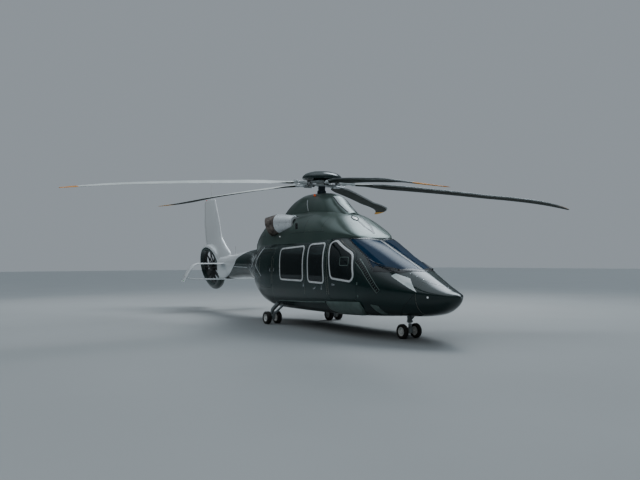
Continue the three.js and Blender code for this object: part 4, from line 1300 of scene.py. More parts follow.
def stood(item: Item, shape: Shape, spot: tuple[float, float], facing: Facing = Facing.SIDE,
          turn: float = 0.0) -> Item:
    """Stands a fitting, modelled with Z outwards and X forwards, on a shape's starboard surface.

    Args:
        item: The fitting.
        shape: The surface.
        spot: Flat place, as for band().
        facing: How the place is given.
        turn: Turn about the outward direction, in radians.

    Returns:
        The fitting, in place.
    """
    point = shape.place(facing, np.array([spot], float))
    up = Vector(shape.normals(point)[0])
    ahead = (Vector((1, 0, 0)) - up * up.x).normalized()
    spin = Matrix((ahead, up.cross(ahead), up)).transposed().to_4x4()
    return moved(item, Matrix.Translation(point[0]) @ spin @ Matrix.Rotation(turn, 4, "Z"))


def duct_frames(middle: Sequence[Point], corner: float, places: Point) -> list[tuple[Vector, Vector, Vector]]:
    """Follows the middle line of a duct with one rounded bend.

    Args:
        middle: The line's start, corner and end.
        corner: Distance before and after the corner over which the line bends.
        places: Distances from the start.

    Returns:
        For each place its point, the sideways direction and the one across both.
    """
    start, bend, end = (Vector(p) for p in middle)
    enter = bend + (start - bend).normalized() * corner
    leave = bend + (end - bend).normalized() * corner
    line = [start - (bend - start) * 0.3, start, start.lerp(enter, 0.5)]
    line += [enter * (1 - t) ** 2 + bend * 2 * t * (1 - t) + leave * t ** 2 for t in np.linspace(0, 1, 15)]
    line += [leave.lerp(end, 0.5), end, end + (end - bend) * 2.5]
    data = np.array(line)
    length = lengths(data)
    length -= length[1]
    frames = []
    for at in places:
        spot, ahead = (Vector([np.interp(at + d, length, data[:, k]) for k in range(3)]) for d in (0, 0.01))
        run = (ahead - spot).normalized()
        side = run.cross(Vector((0, 0, 1))).normalized()
        frames.append((spot, side, side.cross(run)))
    return frames


def swept(middle: Sequence[Point], corner: float, loop: Corners, close: bool = True) -> Item:
    """A round duct along two straight runs with a rounded bend.

    Args:
        middle: As for duct_frames().
        corner: As for duct_frames().
        loop: Pairs of distance along the line and radius, from outside to inside.
        close: True for a hollow duct, whose loop closes, and False for a plug.

    Returns:
        The duct as a closed solid.
    """
    rings = [[spot + (side * math.cos(a) + top * math.sin(a)) * max(radius, 1e-4) for a in full_turn(64)]
             for (spot, side, top), (_, radius) in zip(duct_frames(middle, corner, [at for at, _ in loop]), loop)]
    return face_out(weld(loft(np.array(rings), closed=close), 2e-4))


def read(data: Sockets, name: str, width: int = 3, kind: type = float) -> np.ndarray:
    """Reads one property of all points, corners or faces of a mesh, one row for each."""
    values = np.empty(len(data) * width, kind)
    data.foreach_get(name, values)
    return values.reshape(-1, width)


def lined(item: Item, finish: Finish) -> Item:
    """Covers the inside of a wall: suede on the sides and roof, carpet on the floor.

    Args:
        item: A wall cut from the body, with heights above the ground.
        finish: The finish of its outside.

    Returns:
        The wall.
    """
    faces = item.data.polygons
    item.data.materials.clear()
    for paint in (finish, LINING, CARPET):
        item.data.materials.append(paint.material())
    centres = read(faces, "center")
    deep = BODY.depth(centres) < INSIDE
    floor = deep & (read(faces, "normal")[:, 2] > 0.9) & (np.abs(centres[:, 2] - FLOOR_TOP) < 0.03)
    faces.foreach_set("material_index", np.where(floor, 2, np.where(deep, 1, 0)).astype(np.int32))
    return item


def seamed(item: Item, shape: Shape) -> None:
    """Gives the corners that lie on a shape its own normals, so that reflections run on over cuts.

    Args:
        item: A finished piece, already lowered and shaded.
        shape: The surface that it was cut from.
    """
    mesh = item.data
    corner = read(mesh.loops, "vertex_index", 1, np.int32)[:, 0]
    points = read(mesh.vertices, "co") - [0, 0, GROUND]
    normals = read(mesh.corner_normals, "vector")
    sizes = read(mesh.polygons, "loop_total", 1, np.int32)[:, 0]
    face_normal = np.repeat(read(mesh.polygons, "normal"), sizes, axis=0)
    ideal = shape.normals(points)[corner]
    close = (np.abs(shape.depth(points)) < SKIN_REACH)[corner]
    fits = (ideal * face_normal).sum(axis=1) > math.cos(SKIN_TURN)
    use = close & fits & np.isfinite(ideal).all(axis=1)
    normals[use] = ideal[use]
    mesh.normals_split_custom_set(normals)


def publish_both(item: Item, name: str, finish: Finish, body: str = "airframe",
                 nodes: Sequence[str] = (), shape: Shape | None = None, angle: float = 30) -> None:
    """Publishes a starboard piece and its mirror image.

    Args:
        item: The starboard piece.
        name: Name of both, before the hand.
        finish: What they are covered with.
        body: Body that carries them; a name that ends in _ takes the hand too.
        nodes: Nodes that they stand for, without the hand.
        shape: Surface whose normals they take.
        angle: Edges sharper than this stay sharp.
    """
    for hand, piece in (("right", item), ("left", mirrored(item))):
        carrier = body + hand if body.endswith("_") else body
        publish(piece, f"{name} {hand}", finish, carrier, [f"{part}_{hand}" for part in nodes], shape, angle)


@dataclass
class Templates:
    """The body as solids at the depths from which its panels are cut."""

    outer: Item = field(init=False)
    inner: Item = field(init=False)

    def __post_init__(self) -> None:
        self.outer = BODY.solid(5.137, BOOM_END)
        self.inner = BODY.solid(3.95, -0.80, WALL)

    def slab(self, front: float, rear: float) -> Item:
        """A block that spans the body between two stations."""
        return block((rear, -1.6, 0), (front, 1.6, 4.5))

    def skin(self, front: float, rear: float, hollow: Item | None = None) -> Item:
        """The wall of the body between two stations."""
        item = combine(copied(self.outer), self.slab(front, rear), Join.KEEP)
        return combine(item, hollow or self.inner, Join.CUT, keep=True)

    def remove(self) -> None:
        """Clears the templates away."""
        discard(self.outer, self.inner)


def side_cut(outline: Corners, radius: float, outside: float = -1.4, inside: float = -0.56) -> Item:
    """A cutter through the starboard side, from outside the body to within its wall."""
    return prism(rounded(outline, radius), outside, inside, Facing.SIDE)


def screen_cut(outline: Corners) -> Item:
    """A cutter through the starboard half of the roof line, drawn from above, for a windscreen."""
    return prism([(x, -y) for x, y in rounded(outline, SCREEN_ROUND)], 1.3, 2.6, Facing.PLAN)


def sheet(cut: Item, front: float, rear: float, top: float, bottom: float) -> Item:
    """The part of a cutter that lies between two depths below the skin.

    Args:
        cut: The cutter, which is used up.
        front: A station in front of it.
        rear: A station behind it.
        top: Depth of the outer face, negative above the skin.
        bottom: Depth of the inner face.

    Returns:
        The sheet.
    """
    beyond = 0.1
    item = combine(BODY.solid(front, rear, top), cut, Join.KEEP)
    return combine(item, BODY.solid(front + beyond, rear - beyond, bottom), Join.CUT)


# Sub-assemblies


@dataclass
class Cabin:
    """The cabin walls, nose, doors, glazing and what is fixed on them."""

    templates: Templates
    frame_width: float = 0.044
    rivet_pitch: float = 0.05
    pillar: Corners = ((2.812, 1.715), (3.05, 1.53), (3.35, 1.26), (3.561, 1.041))
    pillar_widths: tuple[float, ...] = (0.086, 0.105, 0.13, 0.158)
    # Outline of the nose facet that takes the painted sky reflection.
    facet_reflection_outline: Corners = ((3.766, 1.379), (3.809, 1.433), (4.134, 1.328), (4.430, 1.053), (4.242, 1.137))

    def build(self) -> None:
        """Builds all pieces."""
        self.shell()
        self.doors()
        self.glazing()
        self.pillars()
        self.windscreen_fittings()
        self.nose_fittings()
        self.side_fittings()
        self.steps()

    def pane(self, cut: Item) -> Item:
        """A sheet of glass where a cut meets the surface."""
        return sheet(cut, 4.3, -0.7, PANE_TOP, GLASS)

    def shell(self) -> None:
        """Cuts the fixed walls and the nose."""
        shell = self.templates.skin(NOSE_JOINT - 0.003, CABIN_END)
        floor = BODY.solid(3.94, -0.81, WALL - 0.006)
        combine(floor, block((-0.82, -1.2, FLOOR_TOP - 0.05), (3.85, 1.2, FLOOR_TOP)), Join.KEEP)
        combine(shell, floor, Join.ADD)
        for outline, radius in ((CREW_DOOR, DOOR_ROUND), (SLIDING_DOOR, DOOR_ROUND), (REAR_WINDOW, WINDOW_ROUND)):
            cut_both(shell, side_cut(outline, radius))
        cut_both(shell, screen_cut(WINDSCREEN))
        publish(lined(shell, BODY_PAINT), "cabin shell", BODY_PAINT, nodes=["cabin_shell"], shape=BODY)
        nose = combine(copied(self.templates.outer), self.templates.slab(5.2, NOSE_JOINT), Join.KEEP)
        publish(nose, "nose cone", BODY_PAINT, nodes=["nose_cone"], shape=BODY)

    def doors(self) -> None:
        """Cuts the crew doors and the sliding doors, with their seals and rivets."""
        for name, outline, window, gap, body in (
                ("crew door", CREW_DOOR, CREW_WINDOW, 0.007, "crew_door_"),
                ("sliding door", SLIDING_DOOR, SLIDING_WINDOW, 0.004, "airframe")):
            door = self.templates.skin(3.9, CABIN_END)
            combine(door, side_cut(grown(outline, -gap), DOOR_ROUND), Join.KEEP)
            combine(door, side_cut(window, WINDOW_ROUND), Join.CUT)
            publish_both(lined(door, BODY_PAINT), name, BODY_PAINT, body, [name.replace(" ", "_")], BODY)
            seal = band(BODY, rounded(outline, DOOR_ROUND), 0.03, 0.012, lift=-0.034)
            publish_both(seal, name + " seal", SEAL_RUBBER)
            rivets = row([followed(BODY, rounded(grown(outline, -0.03), DOOR_ROUND), True)], button(0.0035, 0.0008),
                         self.rivet_pitch, BODY_PAINT)
            publish_both(rivets, name + " rivets", BODY_PAINT, body)

    def glazing(self) -> None:
        """Makes the panes, their frames and their seals."""
        for name, outline, body in (("crew", CREW_WINDOW, "crew_door_"), ("sliding", SLIDING_WINDOW, "airframe"),
                                    ("rear", REAR_WINDOW, "airframe")):
            pane = self.pane(side_cut(grown(outline, -0.002), WINDOW_ROUND))
            publish_both(pane, name + " glass", SIDE_GLASS, body, [name + "_glass"], BODY)
            path = rounded(grown(outline, 0.018), WINDOW_ROUND + 0.02, 10)
            publish_both(band(BODY, path, self.frame_width, 0.007), name + " window frame", FRAME_PAINT, body)
            inner = rounded(grown(outline, -0.010), WINDOW_ROUND, 10)
            publish_both(band(BODY, inner, 0.016, 0.003), name + " window seal", SEAL_RUBBER, body)
        vent = rounded([(2.32, 1.60), (2.60, 1.60), (2.55, 1.79), (2.30, 1.79)], 0.03)
        publish_both(band(BODY, vent, 0.012, 0.003, lift=-0.001), "vent panel frame", GREY_PAINT, "crew_door_")
        for name, spots, finish, body in (
                ("cabin latches", ((-0.107, 1.275), (0.52, 1.262), (1.333, 1.29)), FRAME_PAINT, "airframe"),
                ("release tabs", ((1.10, 1.265),), RELEASE_YELLOW, "airframe"),
                ("crew latches", ((2.144, 1.357), (2.62, 1.32)), FRAME_PAINT, "crew_door_"),
                ("crew release tabs", ((2.06, 1.40),), RELEASE_YELLOW, "crew_door_")):
            tabs = [stood(block((-0.03, -0.013, -0.030), (0.03, 0.013, -0.013), 0.004), BODY, spot)
                    for spot in spots]
            publish_both(merged(tabs), name, finish, body)

    def pillars(self) -> None:
        """Lays a dark band with light edges and a row of ribs down each door pillar."""
        publish_both(band(BODY, self.pillar, self.pillar_widths, 0.004, closed=False), "pillar band", TRIM_BLACK)
        edges = [band(BODY, self.pillar, 0.016, 0.006, closed=False, shift=side * 0.05) for side in (-1, 1)]
        publish_both(merged(edges), "pillar edges", GREY_PAINT)
        ribs = row([followed(BODY, self.pillar, lift=0.004)],
                   block((-0.005, -0.028, -0.002), (0.005, 0.028, 0.005), 0.002), 0.06, GREY_PAINT)
        publish_both(ribs, "pillar ribs", GREY_PAINT)

    def windscreen_fittings(self) -> None:
        """Makes the screens with their dark border, the centre post and the wipers."""
        # The screens' deep blue is a painted reflection of the sky.
        pane = self.pane(screen_cut(grown(WINDSCREEN, -0.002)))
        publish_both(pane, "windscreen", SCREEN_SKY_REFLECTION_GLASS, nodes=["windscreen"], shape=BODY)
        border = band(BODY, rounded(WINDSCREEN, 0.05, 8), 0.04, 0.003, facing=Facing.PLAN)
        publish_both(border, "windscreen border", TRIM_BLACK)
        lower = band(BODY, ((4.08, 0.03), (3.85, 0.47), (3.57, 0.64), (3.30, 0.765)), 0.10, 0.007,
                     facing=Facing.PLAN, closed=False)
        publish_both(lower, "windscreen sill", TRIM_BLACK)
        post = band(BODY, ((2.58, 0.0), (3.4, 0.0), (4.11, 0.0)), 0.062, 0.005, facing=Facing.PLAN, closed=False)
        publish(post, "windscreen post", TRIM_BLACK)
        screws = row([followed(BODY, rounded(grown(WINDSCREEN, 0.016), 0.05, 8), True, Facing.PLAN, 0.003)],
                     button(0.0045, 0.001), 0.06, BRIGHT_METAL)
        publish_both(screws, "windscreen screws", BRIGHT_METAL)
        blade, _, _ = followed(BODY, ((2.981, 0.72), (3.236, 0.678), (3.49, 0.65)), facing=Facing.PLAN, lift=0.010)
        arm, _, _ = followed(BODY, ((3.236, 0.678), (3.55, 0.60), (3.80, 0.47)), facing=Facing.PLAN, lift=0.022)
        pivot = bar(arm[-1] - np.array((0, 0, 0.03)), arm[-1] + np.array((0, 0, 0.012)), 0.016)
        publish_both(merged([tube(blade, 0.007), tube(arm, 0.006), pivot]), "windscreen wiper", TRIM_BLACK)

    def nose_fittings(self) -> None:
        """Adds the pale facet, whose colour is a painted reflection of the sky, the hatch seams with their latches,
        the landing lamp with its ring, and the gear bay panel.
        """
        # The facet's pale paint is a painted reflection of the sky.
        facet = sheet(side_cut(self.facet_reflection_outline, 0.02, -1.2, -0.2), 4.7, 3.5, -0.0015, 0.003)
        publish_both(facet, "nose facet", NOSE_FACET_REFLECTION_PAINT, shape=BODY)
        seam = [band(BODY, ((4.024, 0.375), (4.475, 0.207), (4.80, 0.01)), 0.007, 0.0006, facing=Facing.PLAN,
                     closed=False),
                band(BODY, ((4.408, 1.042), (4.18, 0.80), (3.921, 0.577)), 0.007, 0.0006, closed=False)]
        publish_both(merged(seam), "nose seams", SEAL_RUBBER)
        latches = row([followed(BODY, ((4.035, 0.36), (4.45, 0.20), (4.75, 0.04)), facing=Facing.PLAN)],
                      button(0.009, 0.0015, 12), 0.16, BRIGHT_METAL)
        publish_both(latches, "nose latches", BRIGHT_METAL)
        lens = stood(lathe([(0, -0.01), (0.017, -0.01), (0.017, 0.002), (0.013, 0.006), (0, 0.008)], 32), BODY,
                     (4.638, 0.957))
        publish_both(lens, "nose lamp", LAMP_CLEAR)
        ring = stood(lathe([(0.017, -0.004), (0.024, -0.004), (0.023, 0.003), (0.018, 0.005)], 32, True), BODY,
                     (4.638, 0.957))
        publish_both(ring, "nose lamp ring", FRAME_PAINT)
        corners = ((3.30, 0.76), (3.50, 0.74), (3.55, 0.55), (3.40, 0.53))
        patch = sheet(side_cut(corners, 0.02, -1.2, -0.2), 3.7, 3.2, -0.002, 0.003)
        publish_both(patch, "gear bay panel", GREY_PAINT, shape=BODY)

    def side_fittings(self) -> None:
        """Adds handles, the door rail with its screws, hinges and the line under the cowling."""
        for name, spot, turn, body in (("crew door handle", (2.10, 1.16), 0.0, "crew_door_"),
                                       ("sliding door handle", (1.62, 1.08), 1.5, "airframe"),
                                       ("cabin latch", (1.30, 1.05), 0.3, "airframe"),
                                       ("rear latch", (0.78, 1.12), 1.5, "airframe")):
            plate = block((-0.055, -0.02, -0.003), (0.055, 0.02, 0.003), 0.004, 3)
            grip = block((-0.042, -0.008, 0.003), (0.035, 0.008, 0.010), 0.004, 3)
            publish_both(stood(merged([plate, grip]), BODY, spot, turn=turn), name, BRIGHT_METAL, body)
        rail = ((-0.62, 0.655), (0.831, 0.694), (1.724, 0.734))
        publish_both(band(BODY, rail, 0.024, 0.009, closed=False), "door rail", GREY_PAINT)
        upper = ((-1.932, 2.064), (-1.3, 2.068), (-0.744, 2.066))
        publish_both(band(BODY, upper, 0.014, 0.008, closed=False), "upper line", GREY_PAINT)
        screws = row([followed(BODY, rail, lift=0.009), followed(BODY, upper, lift=0.008)], button(0.004, 0.0015),
                     0.07, BRIGHT_METAL)
        publish_both(screws, "rail screws", BRIGHT_METAL)
        hinges = [stood(block((-0.035, -0.03, -0.003), (-0.004, 0.03, 0.003), 0.002), BODY, spot)
                  for spot in ((2.965, 1.20), (2.99, 0.92))]
        publish_both(merged(hinges), "crew door hinges", GREY_PAINT)
        fitting = block((-0.05, -0.022, -0.004), (0.05, 0.022, 0.012), 0.006, 3)
        publish_both(stood(fitting, BODY, (0.71, 2.252)), "door track stop", BRIGHT_METAL)

    def steps(self) -> None:
        """Makes the steps under the crew doors, with their treads, and finishes the belly plate."""
        outline = ((1.840, 0.760), (3.010, 0.800), (3.060, 0.640), (2.890, 0.480), (2.180, 0.470), (1.900, 0.560))
        step = sheet(side_cut(outline, 0.05), 3.9, 1.2, -0.045, -0.003)
        publish_both(softened(step, 0.012, 3), "side step", GREY_PAINT, nodes=["side_step"])
        tread = [followed(BODY, ((1.98, z), (2.88, z + 0.03)), lift=0.045) for z in (0.66, 0.69, 0.72)]
        ribs = row(tread, block((-0.03, -0.004, -0.003), (0.03, 0.004, 0.0015), 0.0015), 0.075, SEAL_RUBBER)
        publish_both(ribs, "step treads", SEAL_RUBBER)
        for slot in bpy.data.objects["belly_hard_point"].material_slots:
            slot.material = ALLOY.material()


@dataclass
class RearBody:
    """The rear fuselage, its baggage doors and the tail boom."""

    templates: Templates
    stripe: Corners = ((-1.700, 2.090), (-1.723, 2.074), (-1.939, 1.919), (-2.121, 1.747), (-2.235, 1.571))

    def build(self) -> None:
        """Builds all pieces."""
        hollow = BODY.solid(CABIN_END + 0.2, BOOM_JOINT + 0.06, WALL)
        rear = self.templates.skin(CABIN_END - 0.003, BOOM_JOINT, hollow)
        cut_both(rear, side_cut(BAGGAGE_DOOR, DOOR_ROUND))
        publish(lined(rear, TWO_TONE_PAINT), "rear body", TWO_TONE_PAINT, nodes=["rear_body"], shape=BODY)
        door = self.templates.skin(CABIN_END - 0.023, BOOM_JOINT, hollow)
        combine(door, side_cut(grown(BAGGAGE_DOOR, -0.007), DOOR_ROUND), Join.KEEP)
        publish_both(lined(door, BODY_PAINT), "baggage door", BODY_PAINT, "baggage_door_", ["baggage_door"], BODY)
        discard(hollow)
        seal = band(BODY, rounded(BAGGAGE_DOOR, DOOR_ROUND), 0.03, 0.012, lift=-0.034)
        publish_both(seal, "baggage door seal", SEAL_RUBBER)
        plate = block((-0.05, -0.02, -0.003), (0.05, 0.02, 0.004), 0.005, 3)
        grip = block((-0.04, -0.008, 0.003), (0.035, 0.008, 0.011), 0.004, 3)
        handle = stood(merged([plate, grip]), BODY, (-1.04, 1.48), turn=1.5)
        publish_both(handle, "baggage door handle", BRIGHT_METAL, "baggage_door_")
        grab = stood(block((-0.045, -0.012, -0.003), (0.045, 0.012, 0.010), 0.005, 3), BODY,
                     (-0.807, 1.482), turn=1.35)
        publish_both(grab, "rear grab handle", BRIGHT_METAL)
        self.boom()
        self.stripes()
        self.rivets()

    def boom(self) -> None:
        """Makes the tail boom and its aerial."""
        boom = combine(copied(self.templates.outer), self.templates.slab(BOOM_JOINT - 0.003, TAIL_JOINT), Join.KEEP)
        publish(boom, "tail boom", TWO_TONE_PAINT, nodes=["tail_boom"], shape=BODY)
        blade = [(-5.650, 1.93), (-5.585, 1.93), (-5.600, 2.245), (-5.625, 2.25), (-5.640, 2.245)]
        publish(softened(prism(blade, -0.007, 0.007, Facing.SIDE), 0.004, 2), "boom aerial", FRAME_PAINT)

    def stripes(self) -> None:
        """Lays the two silver bands and the light lines on the side."""
        for name, path, width in (
                ("front stripe", self.stripe, 0.05),
                ("rear stripe", ((-2.739, 1.901), (-3.074, 1.751), (-3.321, 1.534)), 0.05),
                ("edge line", ((-2.235, 1.571), (-1.93, 1.45), (-1.642, 1.291)), 0.016),
                ("boom line", ((-5.088, 1.541), (-4.5, 1.527), (-3.916, 1.514)), 0.014)):
            strip = band(BODY, curve_through(path, 40), width, 0.002, closed=False, sink=0.002)
            publish_both(strip, name, SILVER_PAINT)

    def rivets(self) -> None:
        """Sets rivet rows at the frames of the rear body and the boom."""
        paths = []
        for x, low, high in ((-1.95, 1.0, 1.9), (-2.6, 1.15, 2.0), (BOOM_JOINT + 0.03, 1.25, 2.0),
                             (BOOM_JOINT - 0.03, 1.25, 2.0), (-4.9, 1.3, 1.9), (TAIL_JOINT + 0.03, 1.25, 1.85)):
            paths.append(followed(BODY, ((x, low), (x, (low + high) / 2), (x, high))))
        publish_both(row(paths, button(0.0035, 0.0008), 0.032, TWO_TONE_PAINT), "frame rivets", TWO_TONE_PAINT)


@dataclass
class UpperDeck:
    """The engine cowling, the fairing round the mast, and the exhausts."""

    exhaust_line: tuple[tuple[float, float, float], ...] = ((-0.220, -0.700, 2.740), (-0.930, -0.850, 2.740),
                                                            (-1.120, -1.000, 2.660))
    exhaust_corner: float = 0.16
    slat_pitch: float = 0.042
    slat_at: float = 0.66
    slat_radius: float = 0.236

    def build(self) -> None:
        """Builds all pieces."""
        cowling = COWLING.solid()
        combine(cowling, COWLING.solid(0.04, 0.1, trim=0.35), Join.CUT)
        combine(cowling, BODY.solid(3.0, -4.0, 0.004), Join.CUT)
        hole = moved(lathe([(0, -1.0), (0.15, -1.0), (0.15, 0.2), (0, 0.2)]), rotor_frame())
        combine(cowling, hole, Join.CUT, keep=True)
        clear = swept(self.exhaust_line, self.exhaust_corner,
                      [(-0.06, 0.0), (-0.06, 0.17), (0.0, 0.2), (0.2, 0.222), (0.45, 0.250), (0.66, 0.274),
                       (0.9, 0.274), (1.5, 0.274), (1.5, 0.0)], close=False)
        cut_both(cowling, clear)
        # The cowling and the fairing take the deck paint, lightened as a painted sky reflection.
        publish(cowling, "engine cowling", DECK_SKY_SHEEN_PAINT, nodes=["engine_cowling"], shape=COWLING)
        fairing = FAIRING.solid()
        combine(fairing, FAIRING.solid(0.04, 0.1, trim=0.3), Join.CUT)
        combine(fairing, COWLING.solid(0.005), Join.CUT)
        combine(fairing, hole, Join.CUT)
        publish(fairing, "mast fairing", DECK_SKY_SHEEN_PAINT, nodes=["mast_fairing"], shape=FAIRING)
        self.exhausts()
        self.power_plant()
        self.deck_fittings()

    def exhausts(self) -> None:
        """Makes each nozzle: a silver shroud, a slatted cooling gap and a heat-stained outlet."""
        line, corner = self.exhaust_line, self.exhaust_corner
        shroud = swept(line, corner, [(0.0, 0.10), (0.0, 0.155), (0.008, 0.172), (0.03, 0.184), (0.2, 0.212),
                                      (0.45, 0.242), (0.60, 0.262), (0.645, 0.265), (0.650, 0.258), (0.640, 0.244),
                                      (0.45, 0.222), (0.2, 0.19), (0.06, 0.15), (0.04, 0.10)])
        publish_both(shroud, "exhaust shroud", SILVER_PAINT, nodes=["exhaust"], angle=50)
        core = swept(line, corner, [(0.30, 0.0), (0.30, 0.19), (0.60, 0.226), (0.70, 0.222), (0.70, 0.05),
                                    (0.74, 0.09), (0.88, 0.02), (0.88, 0.0)], close=False)
        publish_both(core, "exhaust core", SOOT, angle=50)
        outlet = swept(line, corner, [(0.668, 0.236), (0.674, 0.260), (0.684, 0.268), (0.74, 0.266), (0.84, 0.264),
                                      (0.94, 0.270), (0.982, 0.276), (0.986, 0.272), (0.982, 0.266), (0.94, 0.256),
                                      (0.84, 0.248), (0.74, 0.244)])
        publish_both(outlet, "exhaust outlet", HOT_STEEL, angle=50)
        spot, side, top = duct_frames(line, corner, [self.slat_at])[0]
        ups = np.array([side * math.cos(a) + top * math.sin(a) for a in full_turn(48)])
        slat = block((-0.004, -0.017, -0.012), (0.004, 0.017, 0.010), 0.002)
        circle = (np.array(spot) + ups * self.slat_radius, ups, True)
        publish_both(row([circle], slat, self.slat_pitch, HOT_STEEL), "exhaust slats", HOT_STEEL)

    def power_plant(self) -> None:
        """Makes the closed-in gearbox and engines."""
        case = block((-0.33, -0.30, 2.46), (0.33, 0.30, 2.92), 0.05, 3)
        engines = [block((-1.45, side * 0.235 - 0.135, 2.5), (-0.52, side * 0.235 + 0.135, 2.88), 0.1, 4)
                   for side in SIDES.values()]
        shafts = block((-0.54, -0.30, 2.64), (-0.30, 0.30, 2.82), 0.04, 3)
        publish(merged([case, *engines, shafts]), "power plant", ALLOY, nodes=["power_plant"])

    def deck_fittings(self) -> None:
        """Adds the lamp, black strips of painted shade for the recess down the front, intakes, panel seams with
        fasteners, and the beacon.
        """
        bowl = lathe([(0, -0.02), (0.11, -0.02), (0.11, 0.004), (0.104, 0.014), (0.098, 0.008), (0.09, -0.004),
                      (0, -0.006)], 48)
        moved(bowl, Matrix.Diagonal((1.15, 0.8, 1, 1)))
        publish(stood(bowl, COWLING, (1.70, 0.12), Facing.PLAN), "deck lamp bowl", TRIM_BLACK)
        lens = lathe([(0, -0.003), (0.086, -0.003), (0.082, 0.006), (0.05, 0.015), (0, 0.018)], 48)
        moved(lens, Matrix.Diagonal((1.15, 0.8, 1, 1)))
        publish(stood(lens, COWLING, (1.70, 0.12), Facing.PLAN), "deck lamp", LAMP_CLEAR)
        # Black strips along the front of the cowling and of the fairing: painted shade, where the recess down the
        # front centreline shows dark.
        strip = band(COWLING, ((2.31, 0.0), (2.05, 0.098), (1.55, 0.102)), 0.05, 0.004, facing=Facing.PLAN,
                     closed=False)
        publish_both(strip, "deck strip", TRIM_BLACK)
        upper = band(FAIRING, ((1.42, 0.12), (1.10, 0.155), (0.80, 0.15)), 0.045, 0.004, facing=Facing.PLAN,
                     closed=False)
        publish_both(upper, "fairing strip", TRIM_BLACK)
        niche = ((-0.032, 2.712), (0.126, 2.703), (0.246, 2.528), (0.088, 2.536))
        edge = rounded(niche, 0.02)
        publish_both(band(COWLING, edge, 0.014, 0.006), "intake frame", GREY_PAINT)
        a, b, c, d = np.array(niche)
        vanes = [followed(COWLING, (a + t * (b - a), d + t * (c - d)), lift=0.001) for t in (0.2, 0.4, 0.6, 0.8)]
        slat = block((-0.005, -0.014, -0.004), (0.005, 0.014, 0.005), 0.0015)
        publish_both(row(vanes, slat, 0.016, TRIM_BLACK), "intake slats", TRIM_BLACK)
        seams, screws = [], []
        for path in (((1.45, 2.42), (0.60, 2.44), (-0.10, 2.44)), ((0.55, 2.42), (0.55, 2.92)),
                     ((-1.72, 2.44), (-2.30, 2.40), (-2.75, 2.33)), ((-1.80, 2.42), (-1.80, 2.92)),
                     ((1.30, 2.42), (1.30, 2.80))):
            seams.append(band(COWLING, path, 0.006, 0.0006, closed=False))
            upright = abs(path[0][0] - path[-1][0]) < 0.1
            screws.append(followed(COWLING, np.array(path) + ((0.025, 0.0) if upright else (0.0, 0.028))))
        publish_both(merged(seams), "cowling seams", SEAL_RUBBER)
        publish_both(row(screws, button(0.006, 0.0012, 10), 0.09, BRIGHT_METAL), "cowling fasteners", BRIGHT_METAL)
        lamp = stood(lathe([(0, -0.01), (0.022, -0.01), (0.02, 0.012), (0.012, 0.024), (0, 0.026)], 24), COWLING,
                     (-0.723, 2.378))
        publish_both(lamp, "formation lamp", LAMP_CLEAR)
        beacon = stood(lathe([(0, -0.02), (0.03, -0.02), (0.032, 0.008), (0.028, 0.032), (0.018, 0.048), (0, 0.053)],
                             32), FAIRING, (0.034, 0.241), Facing.PLAN)
        publish(beacon, "fairing beacon", LAMP_AMBER)
        split = band(FAIRING, ((-0.198, 3.36), (-0.10, 3.2), (0.009, 3.04)), 0.018, 0.003, closed=False)
        publish_both(split, "fairing split", SILVER_PAINT)


def rotor_frame() -> Matrix:
    """The hub's place and tilt."""
    return Matrix.Translation((0, 0, HUB_HEIGHT)) @ Matrix.Rotation(ROTOR_TILT, 4, "Y")


def tail_frame() -> Matrix:
    """The fan's place and cant."""
    return Matrix.Translation(FAN_CENTRE) @ Matrix.Rotation(FAN_CANT, 4, "X")


def fan_frame() -> Matrix:
    """Turns Z onto the fan's axle."""
    return tail_frame() @ Matrix.Rotation(-math.pi / 2, 4, "X")


